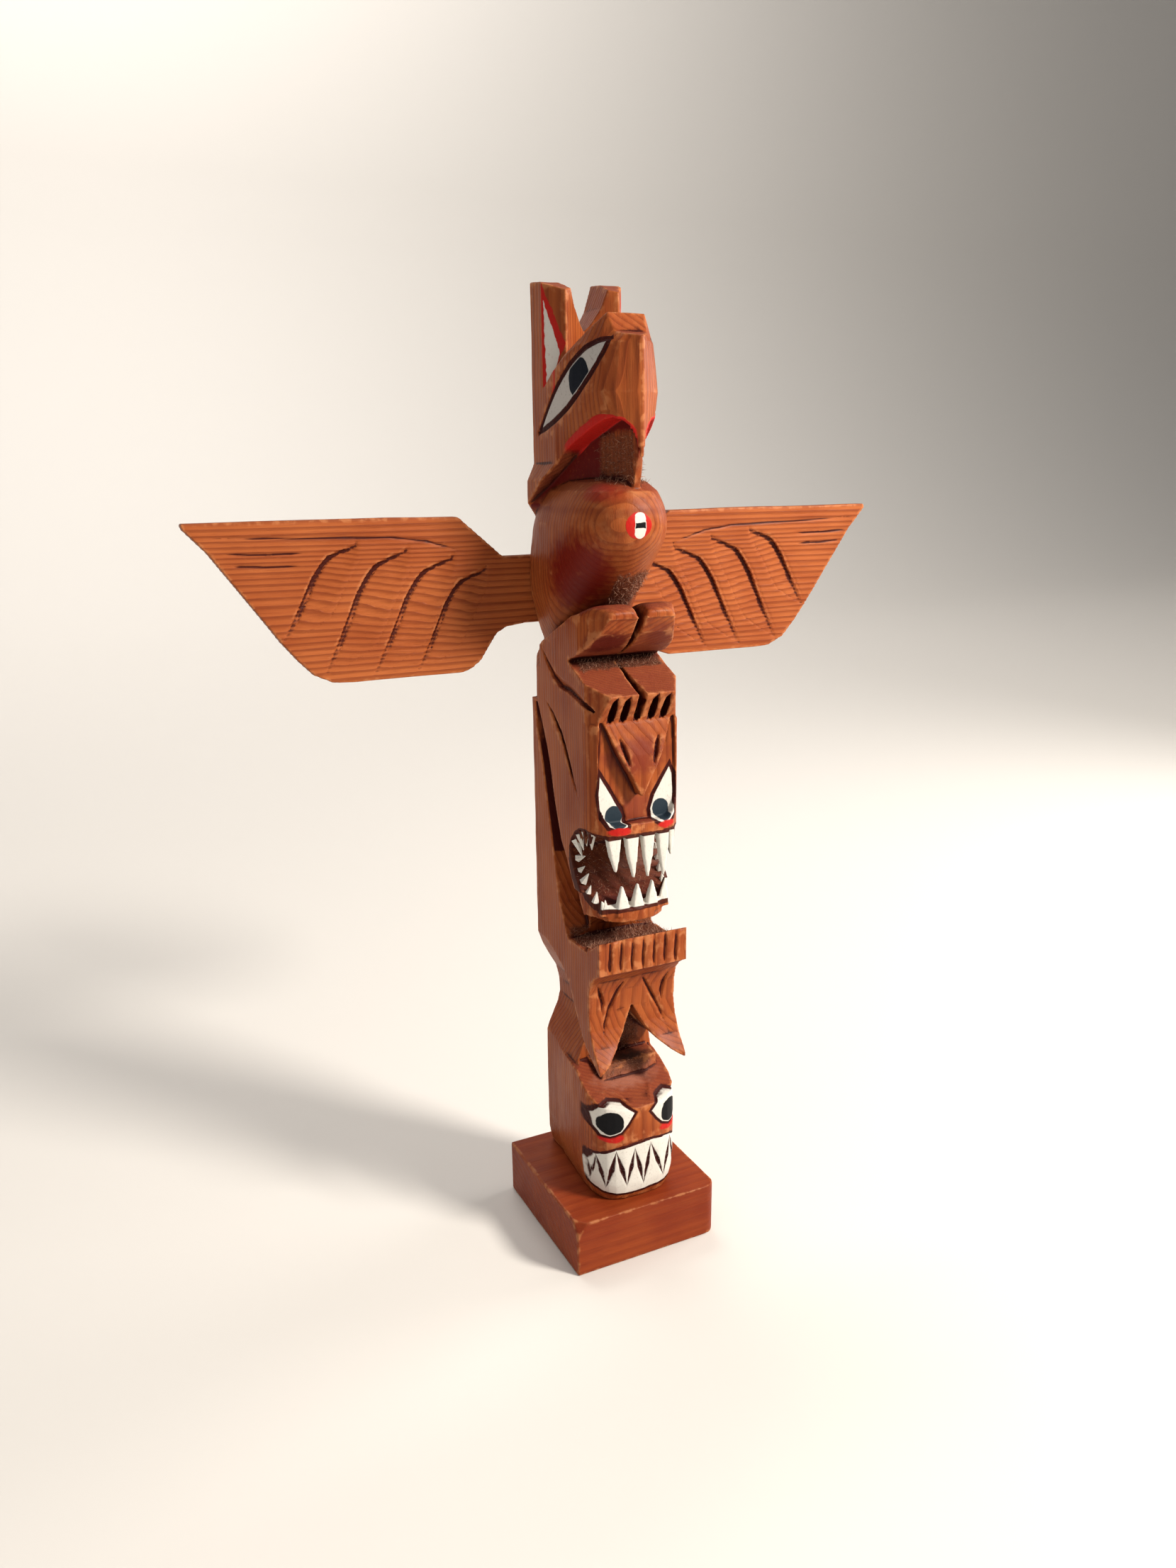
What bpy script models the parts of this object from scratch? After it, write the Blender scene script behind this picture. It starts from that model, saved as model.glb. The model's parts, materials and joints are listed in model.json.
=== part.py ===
"""Souvenir totem pole in stained cedar: a carved pole, a wing board and a base block.

The pole is one stick of wood with a horned bird, a wolf and a toothed mask
carved one over the other. A thin board with both wings is fixed flat on the
back of the bird, and a square block carries the foot of the stick.

Frame: metres, +Z up, the front faces -Y, and the origin is at the centre of
the block's underside. The carving is drawn in pattern millimetres on a stick
of PATTERN_WIDTH x PATTERN_DEPTH x PATTERN_LENGTH and is laid out on the real
stick as shares of its width, depth and length.
"""

import math

import bmesh
import bpy
from mathutils import Vector

MM = 0.001

# Driving sizes of the real piece.
STICK_WIDTH = 31.0 * MM
STICK_DEPTH = 46.0 * MM
STICK_LENGTH = 286.2 * MM
BASE_WIDTH = 52.0 * MM
BASE_DEPTH = 55.0 * MM
BASE_HEIGHT = 18.5 * MM
BASE_EDGE = 0.9 * MM
BASE_ROUND = 4.0 * MM
BASE_ROUND_STEPS = 6
BASE_CHIP = 2.2 * MM
BASE_CHIP_BLOCK = 12.0 * MM
WING_SPAN = 235.0 * MM
WING_CHORD = 48.0 * MM
WING_NECK = 21.0 * MM
WING_THICKNESS = 4.0 * MM
WING_TOP_SHARE = 0.7664
WING_SHIFT = -1.5 * MM
FEATHER_DEPTH = 1.5 * MM
GLUE_GAP = 0.3 * MM

# The stick on which the carving is drawn, and the height of its foot there.
PATTERN_WIDTH = 31.0
PATTERN_DEPTH = 46.0
PATTERN_LENGTH = 286.2
PATTERN_FOOT = 18.8
HALF = PATTERN_WIDTH / 2
BACK = PATTERN_DEPTH / 2
OVER = 8.0
WELD = 0.002

FOOT_HEIGHT = BASE_HEIGHT + GLUE_GAP
BACK_FACE = STICK_DEPTH / 2

# Colours of the stain and the wood.
POLE_STAIN = (0.33, 0.095, 0.035, 1.0)
WING_STAIN = (0.30, 0.085, 0.035, 1.0)
BASE_STAIN = (0.27, 0.075, 0.035, 1.0)


def clear_scene():
    """Remove every object that the new file holds."""
    for item in list(bpy.data.objects):
        bpy.data.objects.remove(item, do_unlink=True)


def new_collection(name):
    """Make a collection in the scene."""
    collection = bpy.data.collections.new(name)
    bpy.context.scene.collection.children.link(collection)
    return collection


def stained_wood(name, colour, roughness):
    """Make the plain finish of one piece."""
    material = bpy.data.materials.new(name)
    material.use_nodes = True
    shader = material.node_tree.nodes["Principled BSDF"]
    shader.inputs["Base Color"].default_value = colour
    shader.inputs["Roughness"].default_value = roughness
    shader.inputs["Metallic"].default_value = 0.0
    material.diffuse_color = colour
    return material


def on_stick(x, y, z):
    """Turn pattern millimetres on the stick into metres in the world."""
    return Vector((
        x * STICK_WIDTH / PATTERN_WIDTH,
        y * STICK_DEPTH / PATTERN_DEPTH,
        FOOT_HEIGHT + (z - PATTERN_FOOT) * STICK_LENGTH / PATTERN_LENGTH,
    ))


def in_millimetres(x, y, z):
    """Turn millimetres in the world into metres."""
    return Vector((x, y, z)) * MM


def new_piece(name, mesh, collection):
    """Put a mesh in an object of the given collection."""
    piece = bpy.data.objects.new(name, mesh)
    collection.objects.link(piece)
    return piece


def turn_outwards(work):
    """Turn the faces of a closed bmesh outwards."""
    bmesh.ops.recalc_face_normals(work, faces=work.faces)
    if work.calc_volume(signed=True) < 0.0:
        bmesh.ops.reverse_faces(work, faces=work.faces)


def prism(name, outline, low, high, axis, place, collection):
    """Extrude a flat outline between two values of one axis.

    The outline is a filled 2D curve. Its points are (y, z) for axis X,
    (x, z) for axis Y and (x, y) for axis Z.
    """
    curve = bpy.data.curves.new(name, "CURVE")
    curve.dimensions = "2D"
    curve.fill_mode = "BOTH"
    curve.extrude = 0.5
    spline = curve.splines.new("POLY")
    spline.points.add(len(outline) - 1)
    for point, (u, v) in zip(spline.points, outline):
        point.co = (u, v, 0.0, 1.0)
    spline.use_cyclic_u = True
    drawn = bpy.data.objects.new(name + "_outline", curve)
    collection.objects.link(drawn)
    depsgraph = bpy.context.evaluated_depsgraph_get()
    mesh = bpy.data.meshes.new_from_object(drawn.evaluated_get(depsgraph))
    mesh.name = name
    bpy.data.objects.remove(drawn, do_unlink=True)

    work = bmesh.new()
    work.from_mesh(mesh)
    bmesh.ops.remove_doubles(work, verts=work.verts, dist=WELD)
    for vert in work.verts:
        u, v, t = vert.co
        w = low if t < 0 else high
        spots = {"X": (w, u, v), "Y": (u, w, v), "Z": (u, v, w)}
        vert.co = place(*spots[axis])
    for face in work.faces:
        face.smooth = False
    turn_outwards(work)
    work.to_mesh(mesh)
    work.free()
    return new_piece(name, mesh, collection)


def loft(name, sections, place, collection):
    """Skin a row of closed sections that have the same number of points."""
    work = bmesh.new()
    rings = [[work.verts.new(place(*p)) for p in section] for section in sections]
    count = len(rings[0])
    for ring, following in zip(rings, rings[1:]):
        for i in range(count):
            j = (i + 1) % count
            work.faces.new((ring[i], ring[j], following[j], following[i]))
    work.faces.new(list(reversed(rings[0])))
    work.faces.new(rings[-1])
    bmesh.ops.triangulate(work, faces=work.faces)
    turn_outwards(work)
    mesh = bpy.data.meshes.new(name)
    work.to_mesh(mesh)
    work.free()
    return new_piece(name, mesh, collection)


def gouge(name, spine, width, depth, out, place, collection, lean=0.5, rise=1.0):
    """Make the cutter of one leaf-shaped V cut along a spine on a surface.

    The cut has its full width and depth in the middle and runs out to a point
    at both ends. lean is where the bottom lies between the two edges.
    """
    out = Vector(out).normalized()
    points = [Vector(p) for p in spine]
    last = len(points) - 1
    sections = []
    for i, point in enumerate(points):
        along = (points[min(i + 1, last)] - points[max(i - 1, 0)]).normalized()
        side = along.cross(out).normalized()
        swell = max(math.sin(math.pi * (i + 0.25) / (last + 0.5)), 0.12)
        reach = side * width * swell
        floor = point - reach / 2 + reach * lean - out * depth * swell
        sections.append([
            point - reach / 2 + out * rise,
            point - reach / 2,
            floor,
            point + reach / 2,
            point + reach / 2 + out * rise,
        ])
    return loft(name, sections, place, collection)


def boolean(piece, other, operation):
    """Add one Boolean modifier to a piece."""
    modifier = piece.modifiers.new(operation.title() + " " + other.name, "BOOLEAN")
    modifier.operation = operation
    modifier.solver = "EXACT"
    modifier.object = other
    other.hide_render = True
    other.display_type = "WIRE"


def carve(piece, cutters):
    """Cut each cutter out of the piece."""
    for cutter in cutters:
        boolean(piece, cutter, "DIFFERENCE")


def both_sides(points):
    """Close a half outline of (x, v) points with its mirror image."""
    return points + [(-x, v) for x, v in reversed(points) if abs(x) > 1e-6]


def mirrored(points, side):
    """Put (x, v) points on one side of the pole."""
    return [(side * x, v) for x, v in points]


def spread(points, side):
    """Put (x, y, z) points on one side of the pole."""
    return [(side * x, y, z) for x, y, z in points]


SIDES = (("left", -1), ("right", 1))


class Shapes:
    """The shaping forms of the pole, drawn in pattern millimetres."""

    def __init__(self, collection):
        self.collection = collection

    def along_x(self, name, outline, low=-HALF - OVER, high=HALF + OVER):
        """A form with a (y, z) outline that runs across the stick."""
        return prism(name, outline, low, high, "X", on_stick, self.collection)

    def along_y(self, name, outline, low, high):
        """A form with an (x, z) outline that runs from front to back."""
        return prism(name, outline, low, high, "Y", on_stick, self.collection)

    def along_z(self, name, outline, low, high):
        """A form with an (x, y) outline that stands upright."""
        return prism(name, outline, low, high, "Z", on_stick, self.collection)

    def skin(self, name, sections):
        """A lofted form."""
        return loft(name, sections, on_stick, self.collection)

    def gouge(self, name, spine, width, depth, out, lean=0.5):
        """A leaf-shaped cut."""
        return gouge(name, spine, width, depth, out, on_stick, self.collection, lean)


# The bird's head.
HEAD_BACK_HALF = 13.2
BEAK_RIDGE = 0.5
HEAD_PEAK = (-13.0, 293.1)
HEAD_EAR = (14.5, 274.4)
HEAD_SINK = 246.0
HORN_TOP = 305.0
HORN_ROOT = 255.0


def head_top(y):
    """Height of the sloping top of the bird's head."""
    rise = (HEAD_PEAK[1] - HEAD_EAR[1]) / (HEAD_PEAK[0] - HEAD_EAR[0])
    return HEAD_PEAK[1] + rise * (y - HEAD_PEAK[0])


def bird_head(forms):
    """Loft the wedge of the head from its back to the ridge of the beak."""
    levels = (250.0, 260.0, 272.0, 285.0)
    stations = (
        (BACK, (HEAD_BACK_HALF,) * len(levels), HEAD_BACK_HALF, head_top(BACK)),
        (9.0, (HEAD_BACK_HALF,) * len(levels), HEAD_BACK_HALF, head_top(9.0)),
        (2.0, (12.3, 12.5, 12.7, 12.5), 12.0, head_top(2.0)),
        (-4.0, (10.8, 11.4, 11.8, 11.2), 10.0, head_top(-4.0)),
        (-9.0, (8.8, 10.0, 10.9, 10.1), 8.0, head_top(-9.0)),
        (-13.0, (7.0, 8.5, 9.8, 8.6), 5.9, HEAD_PEAK[1]),
        (-15.9, (5.0, 7.2, 8.7, 7.0), 5.0, 287.9),
        (-18.8, (3.2, 5.2, 6.7, 4.8), 3.2, 287.2),
        (-21.0, (1.7, 2.6, 3.4, 2.3), 1.7, 286.8),
        (-22.6, tuple(BEAK_RIDGE * bulge for bulge in (0.8, 1.0, 1.2, 1.0)), BEAK_RIDGE * 0.8, 286.3),
    )
    sections = []
    for y, halves, top_half, top in stations:
        half = [(halves[0] * 0.9, HEAD_SINK)]
        spacing = (min(top - 1.0, level) for level in levels)
        half += list(zip(halves, spacing)) + [(top_half, top)]
        ring = half + [(-x, z) for x, z in reversed(half)]
        sections.append([(x, y, z) for x, z in ring])
    return forms.skin("head_wedge", sections)


def horns(forms):
    """The two horns as one block whose front is faceted."""
    plan = both_sides([(HEAD_BACK_HALF, BACK), (HEAD_BACK_HALF, 14.8), (8.65, 7.6), (0.0, 13.5)])
    return forms.along_z("horn_block", plan, HORN_ROOT, HORN_TOP)


def horn_cuts(forms):
    """The notch between the horns, and their slanting tops."""
    notch = both_sides([
        (0.0, HORN_TOP - 14.3), (1.6, HORN_TOP - 12.6), (4.5, HORN_TOP - 7.7), (6.7, HORN_TOP - 0.8),
        (7.4, HORN_TOP + 2.0),
    ])
    slope = [
        (BACK + OVER, HORN_TOP + 0.6), (16.0, HORN_TOP - 0.7), (7.0, HORN_TOP - 3.8),
        (-30.0, HORN_TOP - 7.0), (-30.0, HORN_TOP + 7.0), (BACK + OVER, HORN_TOP + 7.0),
    ]
    return [forms.along_y("horn_notch", notch, 0.0, BACK + OVER), forms.along_x("horn_slope", slope)]


def jaw(forms):
    """The cheeks, which flare to the stick's full width low down."""
    outline = both_sides([
        (13.1, 263.0), (13.2, 253.0), (HALF, 248.0), (HALF, 240.8), (11.6, 235.1), (11.2, 232.0),
    ])
    return forms.along_y("jaw_block", outline, 6.0, BACK)


def beak_arch(forms):
    """The arched undercut below the beak."""
    arch = [
        (BACK + 3.0, 238.6), (BACK, 240.9), (14.4, 246.6), (8.4, 251.2), (1.6, 256.6), (-5.7, 260.3),
        (-11.2, 263.0), (-14.9, 264.6), (-17.4, 265.0), (-19.3, 264.4), (-20.6, 262.8),
        (-21.5, 260.0), (-22.0, 256.5), (-22.6, 252.4), (-30.0, 251.0), (-30.0, 225.0),
        (BACK + 3.0, 225.0),
    ]
    return forms.along_x("beak_arch", arch)


def throat(forms):
    """The thin web of the throat, with the slanted underside of the cheeks."""
    rows = (
        (230.0, ((1.2, -17.0), (3.4, -10.0), (7.6, 5.0), (11.2, BACK))),
        (235.1, ((1.2, -17.6), (3.4, -10.0), (7.8, 5.0), (11.6, BACK))),
        (240.8, ((1.2, -18.4), (3.6, -10.0), (9.4, 5.0), (15.4, BACK))),
        (253.0, ((1.0, -21.0), (3.8, -10.0), (8.4, 5.0), (13.0, BACK))),
        (266.0, ((0.6, -21.2), (4.0, -10.0), (8.6, 5.0), (13.0, BACK))),
    )
    sections = []
    for z, half in rows:
        ring = list(half) + [(-x, y) for x, y in reversed(half)]
        sections.append([(x, y, z) for x, y in ring])
    return forms.skin("throat", sections)


# Rows of the belly: height, half width, the y of its widest place, the y of its
# front, how square the front half is, and the y where the back half would close.
BELLY_ROWS = (
    (248.7, 5.0, -2.0, -11.0, 2.0, 12.0),
    (247.6, 9.4, 0.0, -17.0, 2.2, 20.0),
    (245.0, 12.2, 3.0, -20.4, 2.5, 25.0),
    (240.8, 14.4, 6.0, -22.5, 2.7, 27.5),
    (235.5, 15.5, 8.0, -23.4, 2.75, 29.0),
    (230.5, 15.6, 8.2, -22.0, 2.5, 33.0),
    (225.0, 15.7, 8.5, -17.7, 2.0, 40.0),
    (221.0, 15.7, 9.5, -14.3, 1.85, 46.0),
    (217.5, 15.5, 11.0, -11.2, 1.7, 50.0),
    (214.0, 15.2, 12.0, -7.4, 1.7, 50.0),
    (210.0, 14.3, 13.0, -3.0, 1.8, 50.0),
    (206.0, 13.3, 14.0, 2.0, 2.0, 50.0),
    (202.5, 12.2, 15.0, 6.0, 2.0, 50.0),
    (198.0, 10.5, 16.0, 10.0, 2.0, 50.0),
)
BELLY_POINTS = 40
BELLY_OVERRUN = 40.0
BELLY_BACK_SQUARENESS = 3.0


def belly(forms):
    """The belly: full and square in front at its middle, drawn in below."""
    sections = []
    for z, half, middle, front, squareness, close in BELLY_ROWS:
        ring = []
        for i in range(BELLY_POINTS):
            angle = math.tau * i / BELLY_POINTS
            c, s = math.cos(angle), math.sin(angle)
            power = squareness if s < 0 else BELLY_BACK_SQUARENESS
            reach = (abs(c) ** power + abs(s) ** power) ** (-1.0 / power)
            depth = (middle - front) if s < 0 else (close - middle)
            ring.append((half * reach * c, middle + depth * reach * s, z))
        sections.append(ring)
    return forms.skin("belly", sections)


def lower_stick(forms):
    """The stick from the waist up to the thighs, in its side view."""
    side = [
        (BACK, 62.0), (BACK, 198.5), (16.5, 197.9), (14.0, 199.8), (4.0, 204.4), (-10.8, 211.3),
        (-16.5, 213.4), (-20.5, 213.3), (-23.4, 211.8), (-23.4, 62.0),
    ]
    return forms.along_x("lower_stick", side, -HALF, HALF)


FOOT_CORNER = -14.0
FOOT_CORNER_SLOPE = 0.62


def leg_cuts(forms):
    """Everything that frees the thighs and the feet."""
    under = [
        (-3.6, 196.0), (-9.0, 197.6), (-14.5, 200.6), (-19.5, 204.9), (-22.6, 209.4), (-30.0, 213.0),
        (-30.0, 183.0), (-23.3, 187.2), (-15.0, 190.6), (-7.4, 194.2),
    ]
    cuts = [forms.along_x("under_thigh", under)]
    split = [
        (-1.5, -26.0), (1.5, -26.0), (1.3, -21.0), (0.35, -7.0), (0.0, -3.0), (-0.35, -7.0),
        (-1.3, -21.0),
    ]
    cuts.append(forms.along_z("leg_split", split, 181.0, 220.0))
    for label, side in SIDES:
        corner = mirrored([
            (HALF + OVER, -10.0), (HALF, -11.0), (14.2, -16.0), (10.8, -22.8), (10.4, -27.0),
            (HALF + OVER, -27.0),
        ], side)
        cuts.append(forms.along_z("knee_corner_" + label, corner, 192.5, 222.0))
        corner = mirrored([
            (HALF + OVER, -14.5), (HALF, -15.5), (11.1, -22.9), (10.9, -27.0), (HALF + OVER, -27.0),
        ], side)
        cuts.append(forms.along_z("foot_corner_" + label, corner, 178.0, 194.0))
        notch = mirrored([
            (HALF + OVER, 203.9), (HALF, 202.9), (10.7, 199.6), (13.9, 193.6), (HALF, 191.2),
            (HALF + OVER, 190.5),
        ], side)
        cuts.append(forms.along_y("hip_notch_" + label, notch, 16.2, BACK + OVER))
        crease = [
            (15.0, 198.0), (11.0, 194.2), (6.0, 190.4), (1.0, 188.2), (-4.5, 187.7), (-10.0, 186.2),
            (-15.5, 184.0), (-19.5, 181.5),
        ]
        spine = []
        for y, z in crease:
            inset = max(FOOT_CORNER - y, 0.0) * FOOT_CORNER_SLOPE
            spine.append((side * (HALF - inset), y, z))
        lean = 0.5 - 0.38 * side
        cuts.append(forms.gouge("leg_crease_" + label, spine, 3.6, 1.5, (side, 0.0, 0.0), lean))
    return cuts


def claw_cuts(forms):
    """Five leaf-shaped notches in the slanting front of the feet."""
    cuts = []
    for i, x in enumerate((-8.9, -4.7, 0.0, 4.7, 8.9)):
        half = 1.05 if i != 2 else 1.3
        leaf = [
            (x + 0.35, 186.3), (x + half * 0.75, 184.4), (x + half, 181.8), (x + half * 0.8, 179.6),
            (x, 178.6),
            (x - half * 0.8, 179.6), (x - half, 181.8), (x - half * 0.55, 184.4),
        ]
        cuts.append(forms.along_y("claw_gap_%d" % i, leaf, -30.0, -17.8))
    return cuts


FACE_FLOOR = -18.7
MUZZLE_FRONT = -22.9


def wolf_cuts(forms):
    """The wolf's brow, sockets, cheeks, ears and open mouth."""
    brow = [
        (-30.0, 188.2), (-23.3, 187.2), (-19.4, 179.2), (-19.9, 177.8), (-22.4, 168.6), (-22.9, 165.0),
        (MUZZLE_FRONT, 143.4), (-30.0, 143.4),
    ]
    cuts = [forms.along_x("brow_face", brow)]
    for label, side in SIDES:
        round_off = [
            (HALF + OVER, -12.5), (HALF, -14.0), (15.1, -16.6), (14.0, -18.9), (11.6, -21.4),
            (8.4, -22.7),
            (4.0, -23.2), (4.0, -30.0), (HALF + OVER, -30.0),
        ]
        cuts.append(forms.along_z("cheek_round_" + label, mirrored(round_off, side), 111.6, 178.6))
        socket = [
            (11.4, 178.9), (9.2, 173.5), (7.1, 168.9), (3.4, 162.2), (0.55, 156.3), (-0.4, 156.0),
            (-0.4, 147.7), (9.0, 147.7), (11.6, 149.4), (13.0, 153.4), (13.3, 158.0), (13.1, 170.0),
            (12.6, 179.4),
        ]
        cuts.append(forms.along_y("socket_" + label, mirrored(socket, side), -30.0, FACE_FLOOR))
        ear = [(13.3, 181.9), (7.1, 178.0), (1.0, 172.4), (-2.8, 166.4), (-6.6, 159.4), (-11.4, 153.2)]
        spine = spread([(HALF, y, z) for y, z in ear], side)
        cuts.append(forms.gouge("ear_cut_" + label, spine, 1.8, 1.3, (side, 0.0, 0.0)))
        leaf = spread([
            (6.9, -20.6, 174.9), (5.8, -21.2, 171.6), (4.8, -22.0, 168.2), (3.9, -22.6, 165.0),
        ], side)
        cuts.append(forms.gouge("brow_leaf_" + label, leaf, 1.8, 1.5, (0.0, -1.0, 0.3)))
        cuts.append(back_groove(forms, label, side))
        corner = mirrored([
            (HALF + OVER, 18.0), (HALF, 19.0), (13.5, BACK), (13.5, BACK + OVER),
            (HALF + OVER, BACK + OVER),
        ], side)
        cuts.append(forms.along_z("nape_corner_" + label, corner, 180.4, 197.0))
    mouth = [
        (-3.6, 137.0), (-5.0, 140.0), (-7.4, 142.6), (-10.4, 144.6), (-14.0, 145.4), (-19.0, 144.2),
        (-30.0, 143.4),
        (-30.0, 119.0), (-20.6, 119.2), (-15.5, 121.4), (-11.2, 124.4), (-7.7, 128.6), (-5.0, 133.4),
    ]
    cuts.append(forms.along_x("open_mouth", mouth))
    return cuts


def back_groove(forms, label, side):
    """The long groove between the wolf's head and the strip behind it.

    It is a narrow V under the nape, widens downwards and opens into the
    hollow below the jaw.
    """
    rows = (
        (179.6, 20.8, 18.4, 1.4), (170.0, 19.6, 13.0, 3.0), (160.0, 16.0, 9.8, 4.2),
        (149.0, 13.2, 6.9, 5.2),
        (138.0, 10.4, 2.6, 6.0), (133.0, 9.2, -1.6, 6.6), (127.0, 7.6, -5.0, 7.2),
        (122.0, 6.4, -8.5, 7.6),
        (116.0, 4.6, -12.0, 7.8), (109.0, 1.2, -15.0, 7.8), (105.6, -0.6, -16.0, 7.6),
    )
    sections = []
    for z, strip, edge, depth in rows:
        floor = edge + (strip - edge) * 0.88
        inner = edge + (strip - edge) * 0.5
        ring = [
            (HALF + 1.5, strip, z), (HALF - depth, floor, z), (HALF - depth * 0.8, inner, z),
            (HALF + 1.5, edge - 1.4, z),
        ]
        sections.append(spread(ring, side))
    return forms.skin("back_groove_" + label, sections)


def jaw_cuts(forms):
    """The hollow below the wolf's jaw, and the jaw's own rounded front."""
    under = [
        (-30.0, 111.8), (-22.9, 111.2), (-17.2, 107.3), (-9.0, 105.9), (-1.4, 105.3), (-1.8, 109.0),
        (-5.0, 113.5), (-9.5, 116.0), (-14.0, 116.4), (-19.0, 115.4), (-30.0, 114.6),
    ]
    cuts = [forms.along_x("under_jaw", under)]
    front = [(-30.0, 119.6), (-20.6, 119.4), (-20.2, 115.0), (-20.2, 113.0), (-30.0, 112.4)]
    cuts.append(forms.along_x("jaw_front", front))
    for label, side in SIDES:
        plan = [
            (HALF + OVER, -1.0), (14.4, -2.6), (13.6, -8.0), (12.4, -13.6), (9.6, -17.8), (5.6, -19.8),
            (1.0, -20.4), (1.0, -30.0), (HALF + OVER, -30.0),
        ]
        cuts.append(forms.along_z("jaw_side_" + label, mirrored(plan, side), 112.6, 124.0))
    return cuts


def tooth(forms, name, x, base, tip, half, front, back, lean=0.0):
    """One pointed tooth between the height of its base and of its tip."""
    rows = ((base, 1.0, 0.0), (base + (tip - base) * 0.55, 0.62, 0.4), (tip, 0.12, 1.0))
    sections = []
    for z, share, shift in rows:
        mid = (front + back) / 2
        deep = (back - front) / 2 * (0.35 + 0.65 * share)
        cx = x + lean * shift
        w = half * share
        near, far = mid - deep, mid + deep
        sections.append([(cx - w, near, z), (cx + w, near, z), (cx + w, far, z), (cx - w, far, z)])
    return forms.skin(name, sections)


# Fangs: x, half width, height of the tip, lean of the tip, y of the front.
UPPER_FANGS = (
    (-9.1, 2.4, 132.8, 0.8, -22.2),
    (-3.1, 2.3, 130.2, 0.9, -22.4),
    (2.6, 2.2, 129.7, 0.1, -22.4),
    (7.8, 2.0, 129.2, 0.5, -22.3),
    (11.8, 1.1, 134.9, 0.0, -20.4),
)
LOWER_FANGS = (
    (-9.9, 1.7, 122.5, -1.2, -18.0),
    (-4.7, 2.4, 126.8, -0.3, -19.9),
    (0.4, 2.2, 127.0, 0.0, -20.1),
    (5.5, 2.2, 127.3, 0.2, -19.9),
    (10.4, 1.9, 126.7, 1.0, -18.0),
)
UPPER_GUM = 144.6
LOWER_GUM = 117.4
FANG_THICKNESS = 2.8
SIDE_TEETH = ((-6.4, 143.5, 137.4), (-8.9, 145.0, 139.6), (-11.9, 146.2, 140.0), (-15.2, 146.6, 140.8))
SIDE_TOOTH_X = 13.9


def wolf_teeth(forms):
    """The rows of fangs in front and the small teeth at the sides."""
    teeth = []
    for i, (x, half, tip, lean, front) in enumerate(UPPER_FANGS):
        name = "upper_fang_%d" % i
        teeth.append(tooth(forms, name, x, UPPER_GUM, tip, half, front, front + FANG_THICKNESS, lean))
    for i, (x, half, tip, lean, front) in enumerate(LOWER_FANGS):
        name = "lower_fang_%d" % i
        teeth.append(tooth(forms, name, x, LOWER_GUM, tip, half, front, front + FANG_THICKNESS, lean))
    for label, side in SIDES:
        for i, (y, base, tip) in enumerate(SIDE_TEETH):
            name = "side_tooth_%s_%d" % (label, i)
            teeth.append(tooth(forms, name, side * SIDE_TOOTH_X, base, tip, 1.2, y - 1.1, y + 1.1))
    return teeth


def band_cuts(forms):
    """The fluted band, the two flukes below it and their leaf cuts."""
    face = [
        (-30.0, 100.4), (-22.6, 100.2), (-19.4, 98.0), (-17.2, 95.4), (-16.0, 91.0), (-15.8, 84.5),
        (-16.8, 79.0),
        (-19.2, 73.6), (-22.4, 69.4), (-24.6, 66.0), (-30.0, 62.0),
    ]
    cuts = [forms.along_x("fluke_face", face)]
    valley = both_sides([
        (0.0, 85.2), (1.4, 82.4), (3.8, 77.6), (7.2, 73.0), (11.0, 69.4), (15.0, 66.6),
        (HALF + OVER, 62.0),
    ])
    cuts.append(forms.along_y("fluke_valley", valley, -30.0, -2.0))
    hollow = [
        (-2.4, 89.0), (-4.4, 85.6), (-7.2, 80.4), (-10.4, 75.6), (-14.6, 71.6), (-19.6, 68.6),
        (-30.0, 62.0),
        (-30.0, 50.5), (-23.6, 51.6), (-15.0, 55.4), (-11.5, 58.6), (-8.8, 64.0), (-6.6, 71.0),
        (-4.4, 80.0),
    ]
    cuts.append(forms.along_x("fluke_hollow", hollow))
    flutes = 8
    pitch = PATTERN_WIDTH / flutes
    for i in range(1, flutes):
        x = -HALF + i * pitch
        spine = [(x, -23.4, 112.8), (x + 0.2, -23.3, 108.0), (x - 0.1, -23.2, 103.5), (x, -23.0, 99.2)]
        cuts.append(forms.gouge("flute_%d" % i, spine, 1.5, 0.9, (0.0, -1.0, 0.0)))
    for label, side in SIDES:
        inner = spread([
            (2.6, -16.6, 95.4), (5.2, -16.0, 91.0), (8.0, -16.0, 85.6), (10.2, -16.5, 80.4),
            (11.4, -17.8, 76.0),
        ], side)
        cuts.append(forms.gouge("fluke_leaf_inner_" + label, inner, 1.9, 1.6, (0.0, -1.0, 0.0)))
        outer = spread([
            (12.9, -16.8, 94.6), (11.4, -16.0, 90.6), (10.6, -16.0, 87.4), (10.9, -16.1, 83.4),
        ], side)
        cuts.append(forms.gouge("fluke_leaf_outer_" + label, outer, 2.2, 1.6, (0.0, -1.0, 0.0)))
        cuts.append(waist_scoop(forms, label, side))
    return cuts


WAIST_DEPTH = {"left": 7.8, "right": 2.8}


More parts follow.
